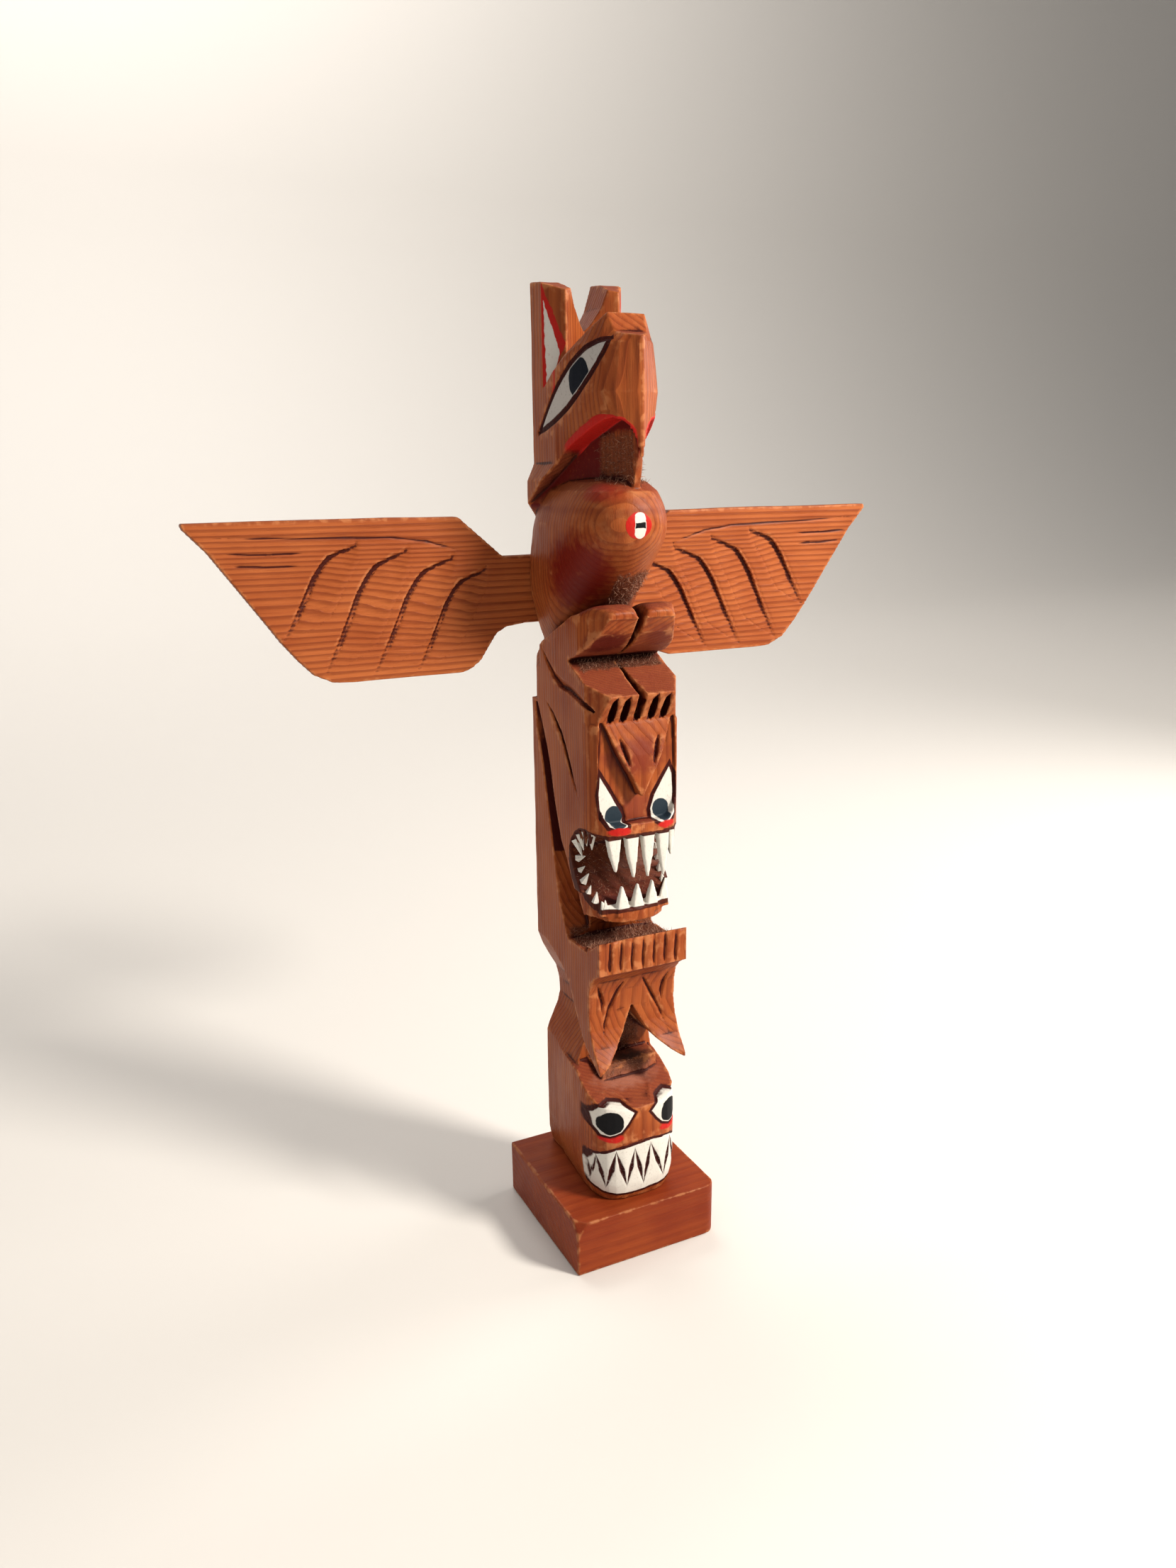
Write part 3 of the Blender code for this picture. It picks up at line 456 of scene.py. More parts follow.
POLE_WOOD = Cedar(
    name="pole_cedar",
    grain=Grain.UPRIGHT,
    ring=1.25,
    heart=(46.0, 74.0),
    pale=(0.37, 0.096, 0.024, 1.0),
    middle=(0.245, 0.045, 0.0105, 1.0),
    dark=(0.105, 0.0135, 0.0045, 1.0),
    patches=(
        Patch((-12.0, -6.0, 221.0), (10.0, 17.0, 15.0), (0.135, 0.0050, 0.0035, 1.0), 0.92),
        Patch((-8.5, -17.0, 201.0), (9.0, 7.0, 6.5), (0.090, 0.0055, 0.0040, 1.0), 0.85),
        Patch((9.0, -17.0, 204.0), (6.0, 6.0, 7.0), (0.130, 0.013, 0.0070, 1.0), 0.55),
        Patch((-9.0, -13.0, 244.5), (6.0, 6.0, 3.0), (0.26, 0.020, 0.010, 1.0), 0.55),
        Patch((4.0, -13.0, 210.0), (8.0, 9.0, 6.0), (0.060, 0.0095, 0.006, 1.0), 0.75),
        Patch((0.0, -20.0, 168.0), (13.0, 6.0, 7.0), (0.150, 0.022, 0.013, 1.0), 0.70),
        Patch((0.0, -20.0, 150.5), (6.0, 6.0, 6.0), (0.190, 0.034, 0.020, 1.0), 0.65),
        # Painted sheen: pinkish light on the flukes' upward slopes.
        Patch((-8.0, -20.0, 66.0), (6.0, 8.0, 10.0), (0.330, 0.105, 0.066, 1.0), 0.55),
        Patch((8.0, -20.0, 68.0), (6.0, 8.0, 9.0), (0.300, 0.095, 0.060, 1.0), 0.55),
        # Painted sheen on the top of the mask's crown.
        Patch((0.0, -14.0, 58.5), (15.0, 9.0, 4.0), (0.400, 0.170, 0.115, 1.0), 0.55),
        # Painted shade between the flukes, over the torn end grain behind them.
        Patch((3.0, -8.0, 69.0), (12.5, 8.0, 12.0), (0.036, 0.0150, 0.0095, 1.0), 0.95),
        Patch((-15.5, 12.0, 150.0), (1.0, 10.0, 60.0), (0.330, 0.075, 0.014, 1.0), 0.50),
    ),
)
WING_WOOD = Cedar(
    name="wing_cedar",
    grain=Grain.ACROSS,
    ring=1.25,
    heart=(150.0, 95.0),
    pale=(0.42, 0.115, 0.032, 1.0),
    middle=(0.31, 0.070, 0.018, 1.0),
    dark=(0.125, 0.018, 0.0065, 1.0),
    contrast=0.55,
    bump=0.00022,
)
BASE_WOOD = Cedar(
    name="base_cedar",
    grain=Grain.ACROSS,
    ring=2.6,
    heart=(-60.0, 40.0),
    pale=(0.27, 0.050, 0.012, 1.0),
    middle=(0.19, 0.026, 0.0075, 1.0),
    dark=(0.12, 0.014, 0.0050, 1.0),
    worn=(0.44, 0.17, 0.065, 1.0),
    contrast=0.20,
    bump=0.00010,
)


class PolePaint:
    """The painted eyes, teeth, horns and spots of the pole."""

    def __init__(self, coat: Coat) -> None:
        """Paint on the given coat."""
        self.coat = coat
        self.canvas = coat.canvas
        self.wide = abs(self.canvas.x)

    def within(self, value: Value, low: float, high: float, soft: float = 0.15) -> Value:
        """1 where a coordinate lies between two places."""
        return value.ramp(low - soft, low + soft) * value.ramp(high + soft, high - soft)

    def horns(self) -> None:
        """A red border and a white triangle with a black line, outside on each horn."""
        canvas = self.canvas
        outward = canvas.facing_x * canvas.bench.maths("SIGN", canvas.x)
        here = self.within(canvas.y, 6.5, 15.1) * self.wide.ramp(13.25, 13.1) * canvas.z.ramp(272.0, 273.0)
        here = here * outward.ramp(0.25, 0.45)
        red = canvas.polygon(self.wide, canvas.z, [(13.4, 304.6), (13.4, 272.0), (8.7, 286.5)])
        self.coat.cover(RED, canvas.brushed(red) * here)
        corners = [(12.75, 298.5), (12.45, 272.0), (9.9, 284.0), (10.35, 287.0)]
        white = canvas.polygon(self.wide, canvas.z, corners)
        self.coat.cover(WHITE, canvas.brushed(white, 0.08) * here)
        corners = [(12.8, 299.0), (12.45, 296.0), (9.75, 284.5), (10.3, 286.6)]
        line = canvas.polygon(self.wide, canvas.z, corners)
        self.coat.cover(BLACK, canvas.brushed(line, 0.06) * here)

    def bird_eyes(self) -> None:
        """The slanting almond eyes: maroon groove, grey-white fill, navy pupil."""
        canvas = self.canvas
        along, across = BIRD_EYE.shares(canvas.y, canvas.z)
        inside = along.most(0.0005).least(0.9995)
        rest = 1.0 - inside
        upper = inside ** BIRD_EYE.upper[0] * rest ** BIRD_EYE.upper[1] * BIRD_EYE.upper[2]
        lower = inside ** BIRD_EYE.lower[0] * rest ** BIRD_EYE.lower[1] * BIRD_EYE.lower[2]
        beyond = (across - upper).most(0.0 - across - lower)
        end = (along - 1.0).most(0.0 - along) * BIRD_EYE.length
        distance = beyond.most(end)
        here = self.wide.ramp(3.5, 4.2) * canvas.z.ramp(258.0, 259.0)
        self.coat.cover(MAROON, (distance + canvas.waver * 0.4).ramp(0.75, 0.45) * here)
        white = (distance + 1.15 + canvas.waver * 0.5).ramp(0.15, -0.15) * here
        self.coat.cover(GREY_WHITE, white)
        pupil = canvas.oval(canvas.y, canvas.z, (-5.6, 276.2), (4.5, 5.7))
        self.coat.cover(NAVY, canvas.brushed(pupil) * (distance + 1.3).ramp(0.1, -0.2) * here)

    def beak(self) -> None:
        """Red along the arch of the mouth, and maroon in the undercut below it."""
        canvas = self.canvas
        arch = canvas.polygon(canvas.y, canvas.z, list(BEAK_ARCH))
        throat = self.within(canvas.y, -21.0, -6.5, 0.8) * self.wide.ramp(7.6, 6.4)
        under = (arch + 0.1).ramp(0.25, -0.1) * (1.0 - throat * canvas.z.ramp(262.5, 260.5) * 0.9)
        self.coat.cover(UNDERCUT, under * canvas.z.ramp(238.0, 240.5) * canvas.facing_z.ramp(0.40, 0.05))
        band = 0.75 + canvas.y.ramp(-19.0, -11.0) * 1.5
        lip = (arch - band + canvas.waver * 0.8).ramp(0.15, -0.15) * arch.ramp(-0.35, -0.1)
        tip = canvas.y.ramp(-22.3, -21.6)
        self.coat.cover(RED, lip * tip * canvas.y.ramp(3.2, 0.4) * canvas.z.ramp(250.0, 253.0))

    def belly(self) -> None:
        """A red disc with a white capsule and a black bar, and a breath of red above."""
        canvas = self.canvas
        front = canvas.y.ramp(-17.0, -19.0)
        blush = canvas.oval(canvas.x, canvas.z, (-8.2, 245.0), (4.2, 3.0)).ramp(1.4, -1.6)
        self.coat.cover(BLUSH, blush * 0.55 * canvas.y.ramp(-8.0, -11.0))
        disc = canvas.oval(canvas.x, canvas.z, (-1.2, 235.7), (4.0, 3.7))
        self.coat.cover(RED, canvas.brushed(disc) * front)
        capsule = (canvas.x + 0.8) * (canvas.x + 0.8)
        tall = (abs(canvas.z - 235.7) - 1.9).most(0.0)
        bean = (capsule + tall * tall) ** 0.5 - 1.75
        self.coat.cover(WHITE, canvas.brushed(bean, 0.08) * front)
        bar = canvas.polygon(canvas.x, canvas.z, [(-2.4, 236.5), (0.8, 236.6), (0.8, 235.0), (-2.4, 234.9)])
        self.coat.cover(BLACK, canvas.brushed(bar, 0.08) * front)

    def claws(self) -> None:
        """Dark wedges between the claws, and painted shade in the grooves behind the head."""
        canvas = self.canvas
        front = canvas.y.ramp(-17.4, -17.9)
        for x in CLAW_GAPS:
            wedge = [
                (x + 0.9, 187.0), (x + 1.35, 183.0), (x + 1.1, 179.3), (x - 1.5, 178.8), (x - 1.0, 182.0),
            ]
            gap = canvas.polygon(canvas.x, canvas.z, wedge)
            self.coat.cover(MAROON, (gap + canvas.waver * 0.5).ramp(0.15, -0.1) * front)
        # Painted shade deepening the grooves on the pole's sides behind the head.
        inside = self.wide.ramp(15.25, 15.05)
        for part in BACK_GROOVE:
            groove = canvas.polygon(canvas.y, canvas.z, list(part))
            self.coat.cover(CUT_SHADE, (groove + canvas.waver).ramp(0.4, -0.2) * inside)

    def wolf_eyes(self) -> None:
        """White drops with slate pupils in the sockets, and red dabs on the lip."""
        canvas = self.canvas
        face = self.within(canvas.z, 143.9, 165.5) * canvas.y.ramp(-16.5, -17.5)
        for drop, pupil, dab in WOLF_EYES:
            distance = canvas.polygon(canvas.x, canvas.z, list(drop))
            self.coat.cover(MAROON, (distance + canvas.waver * 0.5).ramp(0.95, 0.65) * face)
            self.coat.cover(WHITE, (distance + 0.45 + canvas.waver * 0.5).ramp(0.12, -0.12) * face)
            dark = canvas.oval(canvas.x, canvas.z, pupil[0], pupil[1])
            self.coat.cover(SLATE, canvas.brushed(dark) * (distance + 0.25).ramp(0.1, -0.15) * face)
            red = canvas.oval(canvas.x, canvas.z, dab[0], dab[1])
            self.coat.cover(RED, canvas.brushed(red, 0.2) * canvas.y.ramp(-20.2, -20.9))

    def wolf_mouth(self) -> None:
        """Maroon jaws and white fangs."""
        canvas = self.canvas
        mouth = canvas.polygon(canvas.y, canvas.z, list(WOLF_MOUTH))
        rim = (mouth + canvas.waver).ramp(0.55, 0.25)
        self.coat.cover(MAROON, rim * (0.92 - canvas.attribute("torn") * 0.8))
        upper = self.within(canvas.z, 127.5, 143.25) * canvas.y.ramp(-19.0, -19.3)
        self.coat.cover(WHITE, upper * self.wide.ramp(12.8, 12.4))
        lower = self.within(canvas.z, 119.9, 128.4) * canvas.y.ramp(-16.9, -17.1)
        self.coat.cover(WHITE, lower)

    def mask_eyes(self) -> None:
        """Wide almond eyes with black pupils, and red below them."""
        canvas = self.canvas
        face = canvas.y.ramp(-8.0, -10.0)
        for almond, pupil, dab in MASK_EYES:
            red = canvas.oval(canvas.x, canvas.z, dab[0], dab[1])
            self.coat.cover(RED, canvas.brushed(red, 0.25) * face)
            distance = canvas.polygon(canvas.x, canvas.z, list(almond))
            self.coat.cover(MAROON, (distance + canvas.waver * 0.5).ramp(1.15, 0.75) * face)
            self.coat.cover(WHITE, (distance + canvas.waver * 0.5).ramp(0.12, -0.12) * face)
            dark = canvas.oval(canvas.x, canvas.z, pupil[0], pupil[1])
            self.coat.cover(BLACK, canvas.brushed(dark) * (distance + 0.35).ramp(0.1, -0.15) * face)

    def mask_teeth(self) -> None:
        """White teeth across the mask's front, with a maroon rim and dark gaps."""
        canvas = self.canvas
        here = canvas.y.ramp(-9.4, -10.4)
        band = canvas.polygon(canvas.x, canvas.z, list(MASK_MOUTH))
        self.coat.cover(MAROON, (band + canvas.waver).ramp(1.0, 0.7) * here)
        self.coat.cover(WHITE, (band + canvas.waver * 0.7).ramp(0.1, -0.15) * here)
        for start, end in zip(MASK_TEETH, MASK_TEETH[1:]):
            middle = ((start[0] + end[0]) / 2, (start[1] + end[1]) / 2)
            length = math.dist(start, end)
            half = 0.80 * min(1.0, (15.9 - abs(middle[0])) / 4.0)
            off = (half * (end[1] - start[1]) / length, half * (start[0] - end[0]) / length)
            right = (middle[0] + off[0], middle[1] + off[1])
            left = (middle[0] - off[0], middle[1] - off[1])
            kite = [start, right, end, left]
            gap = canvas.polygon(canvas.x, canvas.z, kite)
            self.coat.cover(MAROON, (gap + canvas.waver * 0.35).ramp(0.14, -0.10) * here)

    def all_over(self) -> None:
        """Every painted place, from the top down."""
        self.horns()
        self.beak()
        self.bird_eyes()
        self.belly()
        self.claws()
        self.wolf_mouth()
        self.wolf_eyes()
        self.mask_teeth()
        self.mask_eyes()


@dataclass(frozen=True)
class Chord:
    """The line from the front corner of the bird's eye to its back corner.

    Each lid swells by two powers and a height.
    """

    front: Point
    back: Point
    upper: Spot
    lower: Spot

    @property
    def length(self) -> float:
        """The eye's length."""
        return math.dist(self.front, self.back)

    def shares(self, y: Value, z: Value) -> tuple[Value, Value]:
        """How far a place lies along the eye, from 0 to 1, and above its chord."""
        run_y = (self.back[0] - self.front[0]) / self.length
        run_z = (self.back[1] - self.front[1]) / self.length
        along = ((y - self.front[0]) * run_y + (z - self.front[1]) * run_z) * (1.0 / self.length)
        across = (z - self.front[1]) * run_y - (y - self.front[0]) * run_z
        return along, across


BIRD_EYE = Chord((-15.9, 286.0), (18.2, 262.0), (0.7, 1.2, 12.8), (0.75, 0.95, 18.4))
MASK_TEETH = (
    (-15.4, 32.0), (-14.8, 26.0), (-14.3, 35.6), (-12.0, 23.9), (-9.4, 37.8), (-5.7, 24.3), (-3.0, 37.9),
    (0.4, 23.8), (2.8, 38.5), (8.2, 24.1), (10.9, 37.9), (14.0, 24.8), (15.2, 34.4),
)
MASK_MOUTH = (
    (-15.75, 31.0), (-14.7, 35.6), (-9.4, 38.3), (2.8, 39.5), (10.9, 38.6), (14.7, 35.6), (15.75, 31.0),
    (15.2, 25.4), (14.2, 23.4), (8.1, 22.2), (-3.5, 21.4), (-9.0, 21.7), (-12.3, 22.2), (-14.4, 23.3),
    (-15.2, 25.4),
)
BEAK_ARCH = (
    (22.0, 241.2), (14.4, 246.6), (8.4, 251.2), (1.6, 256.6), (-5.7, 260.3), (-11.2, 263.0), (-14.9, 264.6),
    (-17.4, 265.0), (-19.3, 264.4), (-20.6, 262.8), (-21.5, 260.0), (-22.0, 256.5), (-22.6, 252.4),
    (-22.8, 236.0), (22.0, 236.0),
)
WOLF_MOUTH = (
    (-3.6, 137.0), (-5.0, 140.0), (-7.4, 142.6), (-10.4, 144.6), (-14.0, 145.4), (-22.9, 144.3),
    (-26.0, 130.0), (-22.9, 119.6), (-16.0, 118.4), (-10.0, 121.2), (-5.0, 128.0), (-3.4, 133.0),
)
CLAW_GAPS = (-8.9, -4.7, 0.0, 4.7, 8.9)
BACK_GROOVE = (
    ((21.2, 180.5), (18.2, 180.5), (9.4, 159.0), (6.3, 148.0), (13.6, 148.0), (16.4, 160.0)),
    ((13.6, 149.0), (6.6, 149.0), (2.2, 137.0), (-2.0, 132.0), (9.4, 132.0)),
)
WOLF_EYES = (
    (
        ((-12.5, 164.3), (-9.0, 158.0), (-5.2, 151.9), (-4.4, 149.2), (-4.8, 146.9), (-7.8, 146.0),
         (-10.9, 147.2), (-12.6, 150.4), (-13.2, 157.0)),
        ((-7.7, 149.9), (3.0, 3.2)),
        ((-7.6, 145.9), (3.9, 1.2)),
    ),
    (
        ((11.5, 164.0), (8.6, 159.6), (6.0, 155.0), (4.5, 150.6), (4.8, 147.6), (7.0, 146.4),
         (10.0, 146.6), (12.4, 149.0), (13.1, 155.0), (12.7, 161.0)),
        ((8.4, 150.4), (2.8, 3.1)),
        ((8.6, 146.3), (3.4, 1.1)),
    ),
)
MASK_EYES = (
    (
        ((-15.2, 50.0), (-13.7, 52.8), (-10.0, 53.5), (-6.2, 52.9), (-3.0, 50.4), (-5.4, 47.0), (-7.8, 44.4),
         (-11.0, 43.3), (-13.3, 43.6), (-14.7, 46.0)),
        ((-10.5, 47.7), (3.8, 4.1)),
        ((-10.3, 42.4), (3.6, 1.5)),
    ),
    (
        ((3.3, 49.7), (6.4, 52.6), (10.4, 53.3), (13.8, 52.6), (15.2, 50.0), (14.7, 46.2), (13.2, 43.8),
         (10.4, 43.3), (7.4, 44.6), (5.2, 47.0)),
        ((10.6, 47.6), (3.7, 4.1)),
        ((10.2, 42.6), (3.8, 1.5)),
    ),
)


@dataclass(frozen=True)
class KnifeLine:
    """A line cut or raised along a path that is drawn in one flat view."""

    plane: Plane
    path: tuple[Point, ...]
    width: float
    depth: float
    low: Spot
    high: Spot
    mirror: bool = False

    def press(self, places: np.ndarray) -> np.ndarray:
        """How far each place moves along its normal.

        Args:
            places: The places of the mesh in millimetres.

        Returns:
            One distance in millimetres for each place, below 0 for a cut.
        """
        spots = places.copy()
        if self.mirror:
            spots[:, 0] = -np.abs(spots[:, 0])
        inside = np.all((spots > np.array(self.low)) & (spots < np.array(self.high)), axis=1)
        found = np.flatnonzero(inside)
        flat = spots[found][:, list(self.plane.value)]
        nearest = np.full(len(found), 1e9)
        share = np.zeros(len(found))
        total = sum(math.dist(a, b) for a, b in zip(self.path, self.path[1:]))
        gone = 0.0
        for a, b in zip(self.path, self.path[1:]):
            start, run = np.array(a), np.array(b) - np.array(a)
            length = float(np.hypot(*run))
            t = np.clip((flat - start) @ run / length**2, 0.0, 1.0)
            distance = np.hypot(*(flat - start - t[:, None] * run).T)
            closer = distance < nearest
            nearest = np.where(closer, distance, nearest)
            share = np.where(closer, (gone + t * length) / total, share)
            gone += length
        swell = np.clip(np.sin(np.pi * share) * 1.6, 0.25, 1.0)
        shape = np.clip(1.0 - nearest / (self.width / 2 * swell), 0.0, 1.0)
        moved = np.zeros(len(places))
        moved[found] = -self.depth * swell * shape * shape * (3.0 - 2.0 * shape)
        return moved


def almond_outline() -> tuple[Point, ...]:
    """The outline of the bird's eye in the side view, from tip to tip and back."""
    run_y = (BIRD_EYE.back[0] - BIRD_EYE.front[0]) / BIRD_EYE.length
    run_z = (BIRD_EYE.back[1] - BIRD_EYE.front[1]) / BIRD_EYE.length
    outline = []
    steps = 14
    for sign, (early, late, height) in ((1.0, BIRD_EYE.upper), (-1.0, BIRD_EYE.lower)):
        shares = [i / steps for i in range(steps + 1)]
        for share in shares if sign > 0 else reversed(shares):
            off = sign * (share**early * (1.0 - share) ** late * height - 0.15)
            along = share * BIRD_EYE.length
            outline.append((
                BIRD_EYE.front[0] + run_y * along - run_z * off,
                BIRD_EYE.front[1] + run_z * along + run_y * off,
            ))
    return tuple(outline + outline[:1])


def grown(corners: Sequence[Point], by: float) -> tuple[Point, ...]:
    """A closed outline moved outwards from its middle."""
    middle = np.mean(np.array(corners), axis=0)
    ring = []
    for corner in corners:
        away = np.array(corner) - middle
        ring.append(tuple(np.array(corner) + away / np.hypot(*away) * by))
    return tuple(ring + ring[:1])


def settled(piece: bpy.types.Object) -> None:
    """Turn what the modifiers make into the piece's own plain mesh."""
    depsgraph = bpy.context.evaluated_depsgraph_get()
    mesh = bpy.data.meshes.new_from_object(piece.evaluated_get(depsgraph))
    old = piece.data
    piece.modifiers.clear()
    piece.data = mesh
    bpy.data.meshes.remove(old)


def add_tree(piece: bpy.types.Object, tree: bpy.types.NodeTree, inputs: dict[str, object]) -> None:
    """Put a Geometry Nodes tree on a piece and set its named inputs by their sockets."""
    modifier = piece.modifiers.new(tree.name, "NODES")
    modifier.node_group = tree
    for item in tree.interface.items_tree:
        if item.in_out == "INPUT" and item.name in inputs:
            modifier[item.identifier] = inputs[item.name]


def new_tree(name: str, inputs: Sequence[tuple[str, str, object]]) -> tuple[Bench, bpy.types.Node]:
    """Start a Geometry Nodes tree.

    Args:
        name: The tree's name.
        inputs: Name, socket type and value of each input after the geometry.

    Returns:
        The bench of the tree and its input node.
    """
    tree = bpy.data.node_groups.new(name, "GeometryNodeTree")
    tree.interface.new_socket("Geometry", in_out="INPUT", socket_type="NodeSocketGeometry")
    for label, kind, value in inputs:
        socket = tree.interface.new_socket(label, in_out="INPUT", socket_type=kind)
        if value is not None:
            socket.default_value = value
    tree.interface.new_socket("Geometry", in_out="OUTPUT", socket_type="NodeSocketGeometry")
    return Bench(tree), tree.nodes.new("NodeGroupInput")


def end_tree(bench: Bench, start: bpy.types.Node, geometry: bpy.types.NodeSocket) -> bpy.types.NodeTree:
    """End a tree in Realize Instances and Set Material."""
    real = bench.node("GeometryNodeRealizeInstances", None, {0: geometry})
    dressed = bench.node(
        "GeometryNodeSetMaterial", None, {"Geometry": real.outputs[0], "Material": start.outputs["Material"]}
    )
    bench.node("NodeGroupOutput", None, {0: dressed.outputs[0]})
    return bench.tree


def knife_marks() -> bpy.types.NodeTree:
    """A tree that gives a fine skin its knife scallops and its raised rings."""
    bench, start = new_tree("knife_marks", (
        ("Mark Depth", "NodeSocketFloat", 0.0001),
        ("Mark Size", "NodeSocketFloat", 0.006),
        ("Wobble", "NodeSocketFloat", 0.0002),
        ("Ring Depth", "NodeSocketFloat", 0.00003),
        ("Ring Spacing", "NodeSocketFloat", 0.0012),
        ("Stretch", "NodeSocketVector", (1.0, 1.0, 1.0)),
        ("Seed", "NodeSocketFloat", 1.0),
        ("Material", "NodeSocketMaterial", None),
    ))
    given = start.outputs
    place = bench.node("GeometryNodeInputPosition").outputs[0]
    normal = bench.node("GeometryNodeInputNormal").outputs[0]
    drawn = bench.node("ShaderNodeVectorMath", {"operation": "MULTIPLY"}, {0: place, 1: given["Stretch"]})
    size = Value(bench, given["Mark Size"])
    cells = bench.node(
        "ShaderNodeTexVoronoi",
        {"voronoi_dimensions": "4D", "feature": "SMOOTH_F1"},
        {"Vector": drawn.outputs[0], "W": given["Seed"], "Scale": bench.maths("DIVIDE", 1.0, size),
         "Smoothness": 0.25},
    )
    scallop = (Value(bench, cells.outputs["Distance"]) - 0.45) * Value(bench, given["Mark Depth"])
    soft = bench.node(
        "ShaderNodeTexNoise",
        {"noise_dimensions": "4D"},
        {"Vector": drawn.outputs[0], "W": given["Seed"], "Scale": bench.maths("DIVIDE", 0.35, size),
         "Detail": 2.0},
    )
    wobble = (Value(bench, soft.outputs[0]) - 0.5) * Value(bench, given["Wobble"])
    parts = bench.node("ShaderNodeSeparateXYZ", None, {0: drawn.outputs[0]})
    level = Value(bench, parts.outputs[2]) + Value(bench, soft.outputs[0]) * 0.004
    ring = bench.maths("SINE", level / Value(bench, given["Ring Spacing"]) * math.tau)
    height = scallop + wobble + ring * Value(bench, given["Ring Depth"])
    offset = bench.node("ShaderNodeVectorMath", {"operation": "SCALE"}, {0: normal, "Scale": height})
    moved = bench.node(
        "GeometryNodeSetPosition", None, {"Geometry": given["Geometry"], "Offset": offset.outputs[0]}
    )
    return end_tree(bench, start, moved.outputs[0])


def torn_fibres() -> bpy.types.NodeTree:
    """A tree that stands short torn fibres on the rough end grain."""
    bench, start = new_tree("torn_fibres", (
        ("Density", "NodeSocketFloat", 1000.0),
        ("Length", "NodeSocketFloat", 0.001),
        ("Thickness", "NodeSocketFloat", 0.0001),
        ("Lean", "NodeSocketFloat", 0.7),
        ("Seed", "NodeSocketInt", 3),
        ("Material", "NodeSocketMaterial", None),
    ))
    given = start.outputs
    rough = bench.node("GeometryNodeInputNamedAttribute", {"data_type": "FLOAT"}, {"Name": "torn"})
    density = Value(bench, rough.outputs[0]) * Value(bench, given["Density"])
    spread = bench.node(
        "GeometryNodeDistributePointsOnFaces", None,
        {"Mesh": given["Geometry"], "Density": density, "Seed": given["Seed"]},
    )
    fibre = bench.node(
        "GeometryNodeMeshCone", {"fill_type": "NONE"},
        {"Vertices": 3, "Side Segments": 1, "Radius Top": 0.0, "Radius Bottom": given["Thickness"],
         "Depth": given["Length"]},
    )
    lean = Value(bench, given["Lean"])
    back = bench.maths("MULTIPLY", lean, -1.0)
    least = bench.node("ShaderNodeCombineXYZ", None, {0: back, 1: back, 2: 0.0})
    most = bench.node("ShaderNodeCombineXYZ", None, {0: lean, 1: lean, 2: math.tau})
    turn = bench.node(
        "FunctionNodeRandomValue", {"data_type": "FLOAT_VECTOR"},
        {0: least.outputs[0], 1: most.outputs[0], "Seed": given["Seed"]},
    )
    rotation = bench.node(
        "FunctionNodeRotateRotation", {"rotation_space": "LOCAL"},
        {0: spread.outputs["Rotation"], 1: turn.outputs[0]},
    )
    size = bench.node(
        "FunctionNodeRandomValue", {"data_type": "FLOAT"}, {2: 0.4, 3: 1.3, "Seed": given["Seed"]}
    )
    placed = bench.node(
        "GeometryNodeInstanceOnPoints", None,
        {"Points": spread.outputs[0], "Instance": fibre.outputs[0], "Rotation": rotation.outputs[0],
         "Scale": size.outputs[1]},
    )
    return end_tree(bench, start, placed.outputs[0])


def teeth_on_path() -> bpy.types.NodeTree:
    """A tree that sets small pointed teeth along a path, all leaning one way."""
    bench, start = new_tree("teeth_on_path", (
        ("Count", "NodeSocketInt", 5),
        ("Half Width", "NodeSocketFloat", 0.001),
        ("Height", "NodeSocketFloat", 0.003),
        ("Point To", "NodeSocketVector", (0.0, 0.0, 1.0)),
        ("Seed", "NodeSocketInt", 5),
        ("Material", "NodeSocketMaterial", None),
    ))
    given = start.outputs
    line = bench.node("GeometryNodeMeshToCurve", None, {0: given["Geometry"]})
    even = bench.node("GeometryNodeResampleCurve", None, {"Curve": line.outputs[0], "Count": given["Count"]})
    tooth = bench.node(
        "GeometryNodeMeshCone", None,
        {"Vertices": 5, "Side Segments": 2, "Radius Top": 0.00012, "Radius Bottom": given["Half Width"],
         "Depth": given["Height"]},
    )
    place = bench.node("GeometryNodeInputPosition").outputs[0]
    aim = bench.node("ShaderNodeVectorMath", {"operation": "SUBTRACT"}, {0: given["Point To"], 1: place})
    turn = bench.node("FunctionNodeAlignRotationToVector", {"axis": "Z"}, {"Vector": aim.outputs[0]})
    size = bench.node(
        "FunctionNodeRandomValue", {"data_type": "FLOAT"}, {2: 0.75, 3: 1.15, "Seed": given["Seed"]}
    )
    placed = bench.node(
        "GeometryNodeInstanceOnPoints", None,
        {"Points": even.outputs[0], "Instance": tooth.outputs[0], "Rotation": turn.outputs[0],
         "Scale": size.outputs[1]},
    )
    return end_tree(bench, start, placed.outputs[0])


